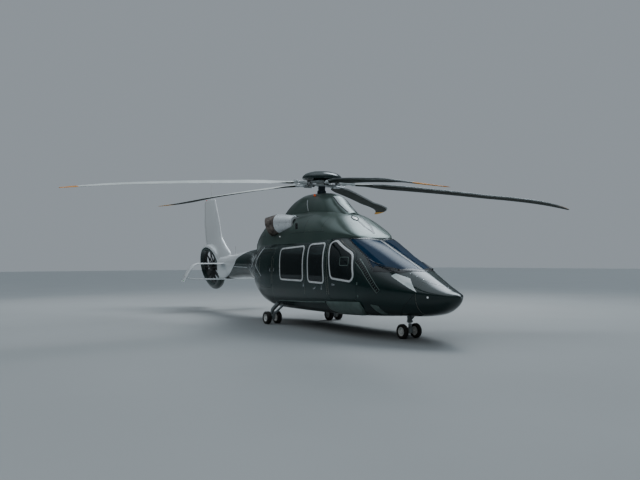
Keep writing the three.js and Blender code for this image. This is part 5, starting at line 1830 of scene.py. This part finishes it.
@dataclass
class TailUnit:
    """The fin, the ring round the fan, the fan itself and the stabiliser."""

    fin_rows: tuple[tuple[float, ...], ...] = (
        (1.500, -6.180, -7.400, 0.200),
        (1.955, -6.060, -8.000, 0.180),
        (2.330, -6.520, -8.330, 0.150),
        (2.610, -6.830, -8.400, 0.120),
        (3.260, -7.095, -8.521, 0.095),
        (4.060, -7.492, -8.500, 0.060),
    )
    bore: float = 0.612
    outer: float = 0.860
    right_edge: tuple[float, float] = (-0.065, -0.165)
    left_edge: tuple[float, float] = (0.215, 0.070)
    blade_count: int = 10
    plane_station: float = -6.2
    plane_half: float = 0.021

    def build(self) -> None:
        """Builds all pieces."""
        self.shell()
        self.fin_fittings()
        self.fan()
        self.stabiliser()

    def fin(self, share: np.ndarray, low: float, high: float, proud: float = 0.0) -> Item:
        """The fin, or a slice of it, as one solid.

        Args:
            share: Shares of the chord at which its sections have points; one at 0 makes a round leading edge.
            low: Height of its lower end.
            high: Height of its upper end.
            proud: How far its sides stand out beyond the fin's own.

        Returns:
            The solid.
        """
        data = np.array(self.fin_rows)
        rings = []
        for z in np.linspace(low, high, 60):
            front, rear, half = (float(eased(data[:, 0], data[:, k], np.array([z]))[0]) for k in (1, 2, 3))
            thick = 2.6 * half * (0.2969 * np.sqrt(share) - 0.126 * share - 0.3516 * share ** 2 + 0.2843 * share ** 3
                                  - 0.0955 * share ** 4) * 1.9 + 0.010 + proud
            thick[share == 0] = 0.002
            side = np.column_stack([front + (rear - front) * share, thick, np.full(len(share), z)])
            rings.append(np.vstack([side, (side * [1, -1, 1])[::-1]]))
        return loft(np.array(rings))

    def ring(self) -> Item:
        """The ring round the fan: thicker in front, and set to port at its front end."""
        turn = full_turn(96)
        rings = []
        for radius, reach in ((0.730, -1.0), (0.840, -0.62), (0.860, -0.2),
                              (0.860, 0.2), (0.840, 0.62), (0.730, 1.0)):
            x, z = radius * np.cos(turn), radius * np.sin(turn)
            front, rear = self.right_edge if reach < 0 else self.left_edge
            y = abs(reach) * (rear + (front - rear) * (x + self.outer) / (2 * self.outer))
            rings.append(np.column_stack([x, y, z]))
        return moved(loft(np.array(rings)), tail_frame())

    def shell(self) -> None:
        """Joins the fin, the ring and the end of the boom into one fair skin."""
        chord = (1 - np.cos(np.linspace(0, math.pi, 24))) / 2
        shell = combine(self.fin(chord, self.fin_rows[0][0], self.fin_rows[-1][0]), self.ring(), Join.ADD)
        combine(shell, BODY.solid(TAIL_JOINT - 0.003, BOOM_END - 0.25), Join.ADD)
        remesh = shell.modifiers.new("remesh", "REMESH")
        remesh.mode = "VOXEL"
        remesh.voxel_size = 0.012
        evaluated(shell)
        smooth = shell.modifiers.new("smooth", "SMOOTH")
        smooth.factor, smooth.iterations = 0.5, 10
        evaluated(shell)
        combine(shell, block((TAIL_JOINT - 0.003, -1, 0), (-5.0, 1, 4)), Join.CUT)
        b = self.bore
        bore = lathe([(0, -0.4), (b + 0.16, -0.4), (b + 0.11, -0.2), (b + 0.075, -0.13), (b + 0.045, -0.09),
                      (b + 0.018, -0.062), (b, -0.04), (b, 0.08), (b + 0.06, 0.22), (b + 0.06, 0.4), (0, 0.4)], 128)
        combine(shell, moved(bore, fan_frame()), Join.CUT)
        publish(shell, "tail fin", TWO_TONE_PAINT, nodes=["tail_fin"], angle=35)

    def fin_fittings(self) -> None:
        """Adds the rudder line, the aerial, the tip lamp, the fan's lip and the bolts round the fan's ring."""
        line = self.fin(np.linspace(0.895, 0.905, 3), 2.3, 4.03, 0.0012)
        publish(line, "fin rear line", SEAL_RUBBER)
        mast = tube(((-7.84, 0, 3.99), (-7.84, 0, 4.25), (-7.84, 0, 4.585)), 0.010, 12)
        foot = bar((-7.84, 0, 4.0), (-7.84, 0, 4.09), 0.022, 0.014)
        publish(merged([mast, foot]), "fin aerial", FRAME_PAINT)
        lamp = bar((-8.33, 0, 4.03), (-8.33, 0, 4.085), 0.022, 0.016)
        publish(lamp, "fin tip lamp", LAMP_RED)
        lip = lathe([(self.bore - 0.001, -0.045), (self.bore - 0.001, 0.07), (self.bore - 0.006, 0.07),
                     (self.bore - 0.006, -0.045)], 128, True)
        publish(moved(lip, fan_frame()), "fan track liner", FAN_BLACK)
        bolts = row([hoop(self.bore + 0.04, -0.098, fan_frame())],
                    moved(button(0.006, 0.003), Matrix.Rotation(math.pi, 4, "X")), 0.12, BRIGHT_METAL)
        publish(bolts, "fan ring bolts", BRIGHT_METAL)

    def fan(self) -> None:
        """Makes the stator with its gear case, and the rotor."""
        case = lathe([(0, 0.015), (0.15, 0.015), (0.165, 0.04), (0.165, 0.18), (0.11, 0.23), (0, 0.24)], 64)
        vanes = [self.vane(0.14, self.bore + 0.004, 0.075, 0.016, 0.25, 0.095, 0.1 + turn)
                 for turn in full_turn(self.blade_count)]
        publish(moved(merged([case, *vanes]), fan_frame()), "fan stator", FAN_BLACK, nodes=["fan_stator"])
        hub = lathe([(0, -0.11), (0.04, -0.107), (0.09, -0.09), (0.14, -0.06), (0.155, -0.01), (0.155, 0.005),
                     (0, 0.005)], 64)
        blades = [self.vane(0.13, FAN_RADIUS - 0.008, 0.11, 0.018, -0.6, -0.03, turn)
                  for turn in full_turn(self.blade_count)]
        publish(moved(merged([hub, *blades]), fan_frame()), "fan rotor", FAN_BLACK, "tail_fan", ["fan_rotor"])

    def vane(self, inner: float, outer: float, chord: float, thick: float, pitch: float, height: float,
             turn: float) -> Item:
        """One blade between two radii, upright on Z and turned to its place."""
        share = full_turn(20)
        rings = []
        for r in np.linspace(inner, outer, 8):
            twist = pitch * (1.25 - 0.5 * (r - inner) / (outer - inner))
            a, t = chord / 2 * np.cos(share), thick / 2 * np.sin(share) * (1 - 0.5 * np.cos(share))
            rings.append(np.column_stack([np.full(len(a), r), a * math.cos(twist) - t * math.sin(twist),
                                          height + a * math.sin(twist) + t * math.cos(twist)]))
        return moved(loft(np.array(rings)), Matrix.Rotation(turn, 4, "Z"))

    def plane(self, path: Sequence[Point], chords: Point, steps: int) -> Item:
        """A thin wing along a path of (y, z) points."""
        data = curve_through([(*point, chord) for point, chord in zip(path, chords)], steps)
        run = np.gradient(data[:, :2], axis=0)
        run /= np.linalg.norm(run, axis=1, keepdims=True)
        turn = full_turn(28)
        rings = []
        for (y, z, chord), (u, v) in zip(data, run):
            along = np.cos(turn) / 2
            across = np.sin(turn) * self.plane_half * (1 + 0.7 * np.cos(turn))
            rings.append(np.column_stack([self.plane_station + along * chord, y - v * across, z + u * across]))
        return loft(np.array(rings))

    def stabiliser(self) -> None:
        """Makes both planes and their post."""
        half = ((1.18, 1.640), (1.31, 1.610), (1.42, 1.500), (1.707, 1.030))
        path = [(-y, z) for y, z in reversed(half)] + [(0, 1.64)] + list(half)
        chords = [0.36, 0.38, 0.38, 0.38, 0.4, 0.38, 0.38, 0.38, 0.36]
        upper = self.plane(path, chords, 120)
        low = ((1.46, 1.130), (1.6, 1.175))
        lower = self.plane([(-y, z) for y, z in reversed(low)] + [(0, 1.1)] + list(low),
                           [0.23, 0.3, 0.33, 0.3, 0.23], 80)
        post = block((-6.33, -0.012, 1.1), (-6.08, 0.012, 1.64), 0.006)
        publish(merged([upper, lower, post]), "stabiliser", SILVER_PAINT, nodes=["stabiliser"])
        for hand, lens in (("right", LAMP_GREEN), ("left", LAMP_RED)):
            y, z = -SIDES[hand] * 1.69, 1.06
            glass = block((-6.12, y - 0.026, z - 0.02), (-6.05, y + 0.026, z + 0.02), 0.012, 3)
            publish(glass, f"position lamp {hand}", lens)


@dataclass
class MainRotor:
    """The mast, the hub and the five drooping blades."""

    blade_rows: tuple[tuple[float, ...], ...] = (
        (0.905, 0.0, 0.160, 0.060), (1.10, 0.0, 0.25, 0.060), (1.25, 0.0, 0.38, 0.050), (1.50, 0.0, 0.43, 0.046),
        (4.30, 0.0, 0.43, 0.044), (5.10, 0.09, 0.47, 0.040), (5.60, 0.12, 0.49, 0.036), (6.05, 0.04, 0.43, 0.030),
        (6.40, -0.12, 0.33, 0.024), (6.70, -0.33, 0.15, 0.014),
    )
    tip_start: float = 6.30
    pitch_inboard: float = math.radians(13)
    pitch_tip: float = math.radians(4)
    dark_tip: int = 1
    around: int = 40            # points round a blade section
    edge_faces: int = 4         # of these, faces on either side of the leading edge under the nickel strip
    edge_from: float = 1.35
    pin_at: float = 0.41
    jaw_at: float = 0.85

    def build(self) -> None:
        """Builds all pieces."""
        mast = lathe([(0, -0.85), (0.09, -0.85), (0.095, -0.83), (0.095, -0.4), (0.12, -0.38), (0.12, -0.2),
                      (0.095, -0.18), (0.095, -0.0703), (0, -0.0703)], 48)
        publish(moved(mast, rotor_frame()), "rotor mast", MAST_STEEL, "main_rotor", ["rotor_mast"])
        self.hub()
        cap = lathe([(0, 0.0803), (0.225, 0.0803), (0.225, 0.235), (0.475, 0.150), (0.490, 0.118), (0.505, 0.105),
                     (0.522, 0.112), (0.535, 0.135), (0.533, 0.165), (0.520, 0.192), (0.485, 0.228), (0.440, 0.260),
                     (0.350, 0.293), (0.250, 0.318), (0.130, 0.331), (0, 0.335)], 96)
        publish(moved(cap, rotor_frame()), "hub cap", BODY_PAINT, "main_rotor", ["hub_cap"], angle=50)
        for k in range(BLADE_COUNT):
            self.blade(k)

    def arm_turn(self, k: int) -> Matrix:
        """Turns the first arm to the place of arm k."""
        return Matrix.Rotation(ROTOR_PHASE + 2 * math.pi * k / BLADE_COUNT, 4, "Z")

    def star(self, low: float, high: float) -> Item:
        """One forged plate of the hub, with an arm to each blade."""
        outline = []
        for k in range(BLADE_COUNT):
            angle = ROTOR_PHASE + 2 * math.pi * k / BLADE_COUNT
            for radius, swing in ((0.17, -0.55), (0.38, -0.17), (0.46, -0.10), (0.46, 0.10), (0.38, 0.17)):
                outline.append((radius * math.cos(angle + swing), radius * math.sin(angle + swing)))
        return softened(prism(rounded(outline, 0.05, 4), low, high, Facing.PLAN), 0.006, 2)

    def hub(self) -> None:
        """Makes the hub's plates, arms, bearings, dampers and bolts."""
        barrel = lathe([(0, -0.07), (0.15, -0.07), (0.19, -0.055), (0.19, -0.03), (0.15, -0.015), (0.15, 0.015),
                        (0.19, 0.03), (0.25, 0.045), (0.25, 0.075), (0.22, 0.08), (0, 0.08)], 64)
        solids = [barrel, self.star(-0.048, -0.026), self.star(0.026, 0.048)]
        rods, bearings = [], []
        for k in range(BLADE_COUNT):
            arm = softened(prism(rounded([(0.36, -0.05), (0.56, -0.075), (0.90, -0.066), (0.90, 0.066), (0.56, 0.075),
                                          (0.36, 0.05)], 0.03, 4), -0.022, 0.022, Facing.PLAN), 0.008, 3)
            cuff = block((0.55, -0.072, -0.043), (0.66, 0.072, 0.043), 0.018, 3)
            jaw = block((0.80, -0.072, -0.044), (0.90, 0.072, 0.044), 0.012, 3)
            solids += [moved(piece, self.arm_turn(k)) for piece in (arm, cuff, jaw)]
            bearing = lathe([(0, -0.056), (0.052, -0.056), (0.058, -0.048), (0.058, 0.048), (0.052, 0.056),
                             (0, 0.056)], 32)
            bearings.append(moved(bearing, self.arm_turn(k) @ Matrix.Translation((self.pin_at, 0, 0))))
            damper = [bar((0.30, 0.06, -0.082), (0.47, 0.20, -0.075), 0.034),
                      bar((0.47, 0.20, -0.075), (0.60, 0.31, -0.07), 0.018),
                      bar((0.575, 0.29, -0.072), (0.62, 0.325, -0.069), 0.026)]
            rods += [moved(piece, self.arm_turn(k)) for piece in damper]
        publish(moved(merged(solids), rotor_frame()), "rotor hub", HUB_PAINT, "main_rotor", ["rotor_hub"])
        publish(moved(merged(rods), rotor_frame()), "blade dampers", BRIGHT_METAL, "main_rotor")
        publish(moved(merged(bearings), rotor_frame()), "blade bearings", SEAL_RUBBER, "main_rotor")
        rims = [hoop(0.235, 0.075, rotor_frame())]
        for k in range(BLADE_COUNT):
            for radius, height, out in ((0.047, 0.046, self.pin_at), (0.030, 0.043, self.jaw_at)):
                place = rotor_frame() @ self.arm_turn(k) @ Matrix.Translation((out, 0, 0))
                rims.append(hoop(radius, height, place, 16))
        publish(row(rims, button(0.009, 0.012, 6), 0.045, BRIGHT_METAL), "hub bolts", BRIGHT_METAL, "main_rotor")

    def blade(self, k: int) -> None:
        """Makes one blade with its pale top and dark underside, partly painted sheen and painted shade, its painted
        tip and its nickel leading edge.
        """
        data = np.array(self.blade_rows)
        spans = np.unique(np.concatenate([np.linspace(0.905, 1.6, 16), np.linspace(1.6, self.tip_start, 62),
                                          np.linspace(self.tip_start, 6.7, 20)]))
        turn = full_turn(self.around)
        rings = []
        for r in spans:
            lead, chord, thick = (float(eased(data[:, 0], data[:, j], np.array([r]))[0]) for j in (1, 2, 3))
            along = np.cos(turn) / 2
            across = np.sin(turn) * thick / 2 * (1 + 0.62 * np.cos(turn))
            share = (r - 0.5) / (ROTOR_RADIUS - 0.5)
            drop = BLADE_DROOP * (share + share ** 2) / 2
            pitch = float(np.interp(r, (0.95, 1.7, ROTOR_RADIUS), (0.0, self.pitch_inboard, self.pitch_tip)))
            back = -(lead + along * chord)
            rings.append(np.column_stack([np.full(self.around, r), back * math.cos(pitch) + across * math.sin(pitch),
                                          across * math.cos(pitch) - back * math.sin(pitch) - drop]))
        item = loft(np.array(rings))
        for paint in (BLADE_TOP_SKY_SHEEN, BLADE_UNDER_SHADE, BLADE_TIP, BLADE_TIP_UNDER, EROSION_STEEL):
            item.data.materials.append(paint.material())
        # Faces that look down take the dark paint, partly painted shade, and faces that look up the pale paint, partly
        # painted sheen.
        for face in item.data.polygons:
            under = face.normal.z < 0
            far = face.center.x > self.tip_start and not (under and k == self.dark_tip)
            near = face.index % self.around + 0.5
            edge = (min(near, self.around - near) < self.edge_faces and len(face.vertices) == 4
                    and face.center.x > self.edge_from)
            face.material_index = 4 if edge and not far else (3 if under else 2) if far else (1 if under else 0)
        moved(item, rotor_frame() @ self.arm_turn(k))
        publish(item, f"main blade {k + 1}", BLADE_TOP_SKY_SHEEN, "main_rotor", [f"main_blade_{k + 1}"], angle=60)


@dataclass
class Wheel:
    """One wheel with its tyre, turning about Y."""

    x: float
    radius: float
    width: float
    rim: float
    bolt_share: float = 0.58    # radius of the bolt circle as a share of the rim's
    bolts: float = 8.01         # a little over 8, so that no ninth bolt falls on the first

    def tyre(self, y: float) -> Item:
        """The tyre with its grooves and the ribs on its sidewalls."""
        h, r = self.width / 2, self.radius
        grooves = [(0.62, 0), (0.5, 0), (0.48, -0.008), (0.40, -0.008), (0.38, 0), (0.06, 0), (0.04, -0.008)]
        tread = [(r + d, h * a) for a, d in grooves]
        tread += [(p, -q) for p, q in reversed(tread)]
        side = [(self.rim, h * 0.72), (self.rim + 0.012, h * 0.86), (self.rim + 0.020, h * 0.93),
                (self.rim + 0.024, h * 0.91), (r - 0.045, h * 0.99), (r - 0.022, h * 0.94), (r - 0.006, h * 0.78)]
        loop = side + tread + [(p, -q) for p, q in reversed(side)]
        return self.placed(lathe(loop, 96, True), y)

    def disc(self, y: float, outside: float) -> Item:
        """The wheel's disc, dished on its outer side."""
        h, r = self.width / 2, self.rim
        profile = [(0, -h * 0.45), (r * 0.6, -h * 0.4), (r * 0.9, -h * 0.74), (r * 0.995, -h * 0.78),
                   (r * 0.995, h * 0.78), (r * 0.93, h * 0.8), (r * 0.86, h * 0.62), (r * 0.72, h * 0.3),
                   (r * 0.45, h * 0.34), (r * 0.40, h * 0.62), (r * 0.2, h * 0.68), (0, h * 0.68)]
        item = lathe(profile, 64)
        if outside < 0:
            moved(item, Matrix.Rotation(math.pi, 4, "X"))
        return self.placed(item, y)

    def bolt_circle(self, y: float, outside: float) -> Path:
        """The circle on which the disc's bolts stand."""
        turn = Matrix.Rotation(math.pi, 4, "X") if outside < 0 else Matrix.Identity(4)
        return hoop(self.rim * self.bolt_share, self.width * 0.155, self.frame(y) @ turn)

    def frame(self, y: float) -> Matrix:
        """Turns Z onto the axle and moves the origin to the wheel's middle."""
        return Matrix.Translation((self.x, y, self.radius)) @ Matrix.Rotation(-math.pi / 2, 4, "X")

    def placed(self, item: Item, y: float) -> Item:
        """Turns a lathe piece onto Y and moves it to the axle."""
        return moved(item, self.frame(y))


@dataclass
class LandingGear:
    """The nose gear and both main gears."""

    nose: Wheel = field(default_factory=lambda: Wheel(3.560, 0.160, 0.110, 0.098))
    main: Wheel = field(default_factory=lambda: Wheel(-0.975, 0.172, 0.140, 0.100))

    def build(self) -> None:
        """Builds all pieces."""
        self.wheels()
        self.legs()

    def wheels(self) -> None:
        """Makes the wheel pairs."""
        sets = [(self.nose, "nose wheels", "nose_wheel_pair", "nose_wheels",
                 {"nose_tyre_right": (-0.19, -1), "nose_tyre_left": (0.19, 1)})]
        for hand, side in SIDES.items():
            sets.append((self.main, f"main wheels {hand}", f"main_wheel_pair_{hand}", f"main_wheels_{hand}",
                         {f"main_tyre_{hand}_outer": (-side * 1.16, -side),
                          f"main_tyre_{hand}_inner": (-side * 0.85, side)}))
        for wheel, name, body, name_in_model, tyres in sets:
            ys = [y for y, _ in tyres.values()]
            axle = bar((wheel.x, min(ys), wheel.radius), (wheel.x, max(ys), wheel.radius), 0.028)
            discs = [wheel.disc(y, outside) for y, outside in tyres.values()]
            publish(merged([axle, *discs]), name, RIM_WHITE, body, [name_in_model])
            circles = [wheel.bolt_circle(y, outside) for y, outside in tyres.values()]
            pitch = 2 * math.pi * wheel.rim * wheel.bolt_share / wheel.bolts
            publish(row(circles, button(0.006, 0.012, 6), pitch, BRIGHT_METAL), name + " bolts", BRIGHT_METAL, body)
            for tyre, (y, _) in tyres.items():
                publish(wheel.tyre(y), tyre.replace("_", " "), TYRE, body, [tyre])

    def legs(self) -> None:
        """Makes the struts, forks, braces and sliding rods."""
        x, r = self.nose.x, self.nose.radius
        fork = merged([block((x - 0.055, -0.055, 0.11), (x + 0.07, 0.055, 0.222), 0.018, 3),
                       bar((x + 0.04, 0, 0.21), (x + 0.03, 0, 0.33), 0.036),
                       bar((x + 0.038, 0, 0.235), (x + 0.036, 0, 0.255), 0.052)])
        combine(fork, bar((x, -0.2, r), (x, 0.2, r), 0.034), Join.CUT)
        publish(fork, "nose fork", GEAR_GREY, "nose_steering", ["nose_fork"])
        rod = lathe([(0.0365, 0), (0.0385, 0.002), (0.0385, 0.055), (0.0365, 0.057)], 32, True)
        publish(moved(rod, pointed((-0.01, 0, 0.12), (x + 0.036, 0, 0.262))), "nose sliding rod", CHROME,
                "nose_steering")
        leg = merged([bar((x + 0.03, 0, 0.34), (x + 0.02, 0, 0.52), 0.056),
                      bar((x + 0.029, 0, 0.36), (x + 0.028, 0, 0.39), 0.066),
                      bar((x + 0.04, 0, 0.40), (x + 0.20, 0, 0.52), 0.022)])
        publish(leg, "nose leg", GEAR_GREY, nodes=["nose_leg"])
        x, r = self.main.x, self.main.radius
        y = -1.005
        leg = combine(block((x - 0.065, y - 0.046, r - 0.055), (x + 0.085, y + 0.046, r + 0.085), 0.02, 3),
                      bar((x, -1.4, r), (x, 0, r), 0.039), Join.CUT)
        parts = [leg, bar((x, y, r + 0.07), (x, y + 0.005, 0.4), 0.048),
                 bar((x, y + 0.004, 0.30), (x, y + 0.004, 0.33), 0.058),
                 bar((x, y + 0.005, 0.38), (x + 0.12, -0.82, 0.62), 0.055, 0.06),
                 bar((x + 0.04, y, r + 0.06), (x + 0.46, -0.905, 0.54), 0.028, 0.032)]
        publish_both(merged(parts), "main leg", GEAR_GREY, nodes=["main_leg"])
        hose = tube(curve_through(((x + 0.05, y - 0.03, 0.22), (x + 0.075, y - 0.035, 0.32),
                                   (x + 0.10, y + 0.02, 0.42), (x + 0.16, -0.86, 0.55)), 24), 0.007)
        publish_both(hose, "brake pipe", SEAL_RUBBER)


@dataclass
class Interior:
    """What shows through the glass: seats and instrument panel."""

    seat_rows: tuple[tuple, ...] = (
        ("pilot seat right", 2.45, -0.43, 1, 0.48, "pilot_seat_right"),
        ("pilot seat left", 2.45, 0.43, 1, 0.48, "pilot_seat_left"),
        ("aft seats", -0.35, 0.0, 1, 1.56, "aft_seats"),
        ("forward seats", 1.35, 0.0, -1, 1.40, "forward_seats"),
    )

    def build(self) -> None:
        """Builds all pieces."""
        for name, x, y, facing, width, name_in_model in self.seat_rows:
            count = max(round(width / 0.5), 1)
            pads, bases, seams = [], [], []
            for k in range(count):
                middle = y + (k - (count - 1) / 2) * width / count
                half = width / count / 2 - 0.012
                soft, base, lines = self.seat(x, middle, facing, half)
                pads += soft
                bases.append(base)
                seams += lines
            cushions = publish(merged(pads), name, LEATHER, nodes=[name_in_model], angle=60)
            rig.padded(cushions, fill=0.85)
            publish(merged(bases), name + " base", PANEL_BLACK)
            publish(row(seams, block((-0.004, -0.0015, -0.001), (0.004, 0.0015, 0.0015), 0.001, 1), 0.016,
                        STITCHING), name + " stitching", STITCHING)
        self.panel()

    def seat(self, x: float, y: float, facing: float, half: float) -> tuple[list, Item, list]:
        """One seat: cushion, back and headrest, its base, and the lines of its stitching."""
        z = FLOOR_TOP
        flat = Matrix.Translation((x + 0.005 * facing, y, z + 0.42))
        lean = Matrix.Translation((x - 0.25 * facing, y, z + 0.44)) @ Matrix.Rotation(-0.17 * facing, 4, "Y")
        pads = [moved(self.pad((0.49, 2 * half, 0.12)), flat),
                moved(self.pad((0.11, 2 * half, 0.56)), lean @ Matrix.Translation((0, 0, 0.28))),
                moved(self.pad((0.08, 1.1 * half, 0.15)), lean @ Matrix.Translation((0, 0, 0.655)))]
        base = block((x - 0.17, y - 0.11, z + 0.0005), (x + 0.17, y + 0.11, z + 0.37), 0.02, 3)
        across = np.linspace(-0.75 * half, 0.75 * half, 12)
        lines = []
        for at in (-0.09, 0.09):
            rise = 0.0595 * (1 - (np.abs(across) / half) ** 5) ** 0.2
            points = np.column_stack([np.full(12, x + at * facing), y + across, z + 0.42 + rise])
            lines.append((points, np.tile((0.0, 0.0, 1.0), (12, 1)), False))
        return pads, base, lines

    def pad(self, size: tuple[float, float, float]) -> Item:
        """A crowned cushion whose sides pull in between its corners."""
        a, b, c = (s / 2 for s in size)
        turns = full_turn(48)
        square = 0.4
        rings = []
        for lift in np.linspace(-math.pi / 2, math.pi / 2, 25):
            flat, tall = max(math.cos(lift), 0.0) ** square, squared(math.sin(lift), square)
            u, v = squared(np.cos(turns), square) * flat, squared(np.sin(turns), square) * flat
            pull = 1 - 0.03 * (1 - np.minimum(np.abs(u), np.abs(v)))
            rings.append(np.column_stack([a * u * pull, b * v * pull, np.full(len(turns), c * tall)]))
        return face_out(weld(loft(np.array(rings)), 1e-4))

    def panel(self) -> None:
        """Makes the instrument panel with its screens and knobs."""
        hood = prism(rounded([(3.40, 1.13), (3.36, 1.50), (3.43, 1.56), (3.70, 1.48), (3.70, 1.13)], 0.03),
                     -0.62, 0.62, Facing.SIDE)
        combine(hood, block((3.5, -0.15, FLOOR_TOP + 0.0005), (3.68, 0.15, 1.2)), Join.ADD)
        combine(hood, BODY.solid(3.93, 2.0, WALL + 0.012), Join.KEEP)
        softened(hood, 0.008, 3)
        publish(hood, "instrument panel", PANEL_BLACK, nodes=["instrument_panel"])
        places = (-0.42, -0.14, 0.14, 0.42)
        screens = [block((3.364, y - 0.11, 1.23), (3.378, y + 0.11, 1.41), 0.004) for y in places]
        publish(merged(screens), "displays", SCREEN_BLUE)
        knobs = []
        for y in places:
            line = np.array([(3.372, y - 0.09, 1.205), (3.372, y + 0.09, 1.205)])
            knobs.append((line, np.array([(-1.0, 0.0, 0.1)] * 2), False))
        publish(row(knobs, button(0.008, 0.014, 12), 0.036, PANEL_BLACK), "panel knobs", PANEL_BLACK)


@dataclass
class Studio:
    """The floor, the lights and the camera of the photograph."""

    focal_px: float = 611.0514
    image_px: tuple[int, int] = (640, 480)
    position: tuple[float, float, float] = (13.943, -8.835, 1.306)
    heading: float = math.radians(57.8343)
    pitch: float = math.radians(2.081)
    roll: float = math.radians(-0.1941)
    glow: tuple[float, float, float] = (-0.05, -0.16, 0.985)
    sun: tuple[float, float, float] = (-0.25, 0.56, 0.79)
    sun_edge: float = 0.94      # cosine at which the sun's glare fades out
    sun_power: float = 9.0
    backdrop: float = 0.42      # how bright the room looks to the camera itself
    air: str = "#d6e2ec"
    floor_half: float = 120.0
    aim_at: tuple[float, float, float] = (-1, 0, 1.5)

    def build(self) -> None:
        """Adds the camera, the floor, the lights and the studio's walls."""
        self.camera()
        self.floor()
        self.lights()
        self.walls()

    def camera(self) -> None:
        """Places the camera that the photograph was solved for."""
        c, s = math.cos(self.heading), math.sin(self.heading)
        right, ahead, up = Vector((c, s, 0)), Vector((-s, c, 0)), Vector((0, 0, 1))
        forward = ahead * math.cos(self.pitch) + up * math.sin(self.pitch)
        top = up * math.cos(self.pitch) - ahead * math.sin(self.pitch)
        x = right * math.cos(self.roll) + top * math.sin(self.roll)
        y = top * math.cos(self.roll) - right * math.sin(self.roll)
        lens = bpy.data.cameras.new("camera")
        lens.sensor_width = 36.0
        lens.lens = self.focal_px / self.image_px[0] * lens.sensor_width
        item = linked(lens)
        item.matrix_world = Matrix.Translation(self.position) @ Matrix((x, y, -forward)).transposed().to_4x4()
        bpy.context.scene.camera = item

    def floor(self) -> None:
        """Lays a large pale floor."""
        half = self.floor_half
        corners = [(x * half, y * half, GROUND) for x, y in ((-1, -1), (1, -1), (1, 1), (-1, 1))]
        item = object_from(corners, [(0, 1, 2, 3)], "floor")
        item.data.materials.append(FLOOR.material())
        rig.stage(item)

    def lights(self) -> None:
        """Hangs a large soft key light above and behind to port, as the sun stood, and weaker ones round it.

        The paint mirrors the room and not the lamps, so that its highlights have no hard edges.
        """
        lights = []
        for name, at, power, size in (("key", (-5, 9, 14), 2200, 7.0), ("fill", (14, -12, 9), 420, 9.0),
                                      ("rim", (-15, -7, 9), 500, 7.0)):
            data = bpy.data.lights.new(name, "AREA")
            data.energy, data.size = power, size
            item = linked(data)
            aim = Vector(self.aim_at) - Vector(at)
            item.matrix_world = Matrix.Translation(at) @ aim.to_track_quat("-Z", "Y").to_matrix().to_4x4()
            item.visible_glossy = False
            lights.append(item)
        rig.stage(*lights)

    def walls(self) -> None:
        """Surrounds the object with a soft room: darker at eye level, a wide glow above, and a small sun to port."""
        world = bpy.data.worlds.new("studio")
        world.use_nodes = True
        tree = world.node_tree
        way = node(tree, "ShaderNodeTexCoord").outputs["Generated"]
        height = node(tree, "ShaderNodeSeparateXYZ", {"Vector": way}).outputs["Z"]
        rise = node(tree, "ShaderNodeMapRange", {"Value": height, "From Min": 0.05, "From Max": 0.95, "To Min": 0.07,
                                                 "To Max": 0.55}, interpolation_type="SMOOTHSTEP")
        toward = node(tree, "ShaderNodeVectorMath", {0: way, 1: self.glow}, operation="DOT_PRODUCT")
        glow = node(tree, "ShaderNodeMapRange", {"Value": toward.outputs["Value"], "From Min": 0.72, "From Max": 1.0,
                                                 "To Max": 1.0}, interpolation_type="SMOOTHSTEP")
        facing = node(tree, "ShaderNodeVectorMath", {0: way, 1: self.sun}, operation="DOT_PRODUCT")
        sun = node(tree, "ShaderNodeMapRange", {
            "Value": facing.outputs["Value"], "From Min": self.sun_edge, "From Max": 1.0, "To Max": self.sun_power},
            interpolation_type="SMOOTHSTEP")
        sky = node(tree, "ShaderNodeMath", {0: rise.outputs["Result"], 1: glow.outputs["Result"]}, operation="ADD")
        both = node(tree, "ShaderNodeMath", {0: sky.outputs["Value"], 1: sun.outputs["Result"]}, operation="ADD")
        seen = node(tree, "ShaderNodeLightPath").outputs["Is Camera Ray"]
        power = node(tree, "ShaderNodeMix", {0: seen, 2: both.outputs["Value"], 3: self.backdrop}, data_type="FLOAT")
        back = tree.nodes["Background"]
        back.inputs["Color"].default_value = linear(self.air)
        tree.links.new(power.outputs[0], back.inputs["Strength"])
        bpy.context.scene.world = world


def main() -> None:
    """Builds the scene and registers every piece."""
    logging.basicConfig(level=logging.INFO, format="%(message)s")
    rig.load()
    sizes = {"loaded": [[float(v) for v in corner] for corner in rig.bounds()]}
    templates = Templates()
    for group in (Cabin(templates), RearBody(templates), UpperDeck(), TailUnit(), MainRotor(), LandingGear(),
                  Interior(), Studio()):
        LOG.info("building %s", type(group).__name__)
        group.build()
    templates.remove()
    sizes["finished"] = [[float(v) for v in corner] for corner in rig.bounds()]
    with open("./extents.json", "w", encoding="utf-8") as out:
        json.dump(sizes, out)
    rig.finish()


if __name__ == "__main__":
    main()
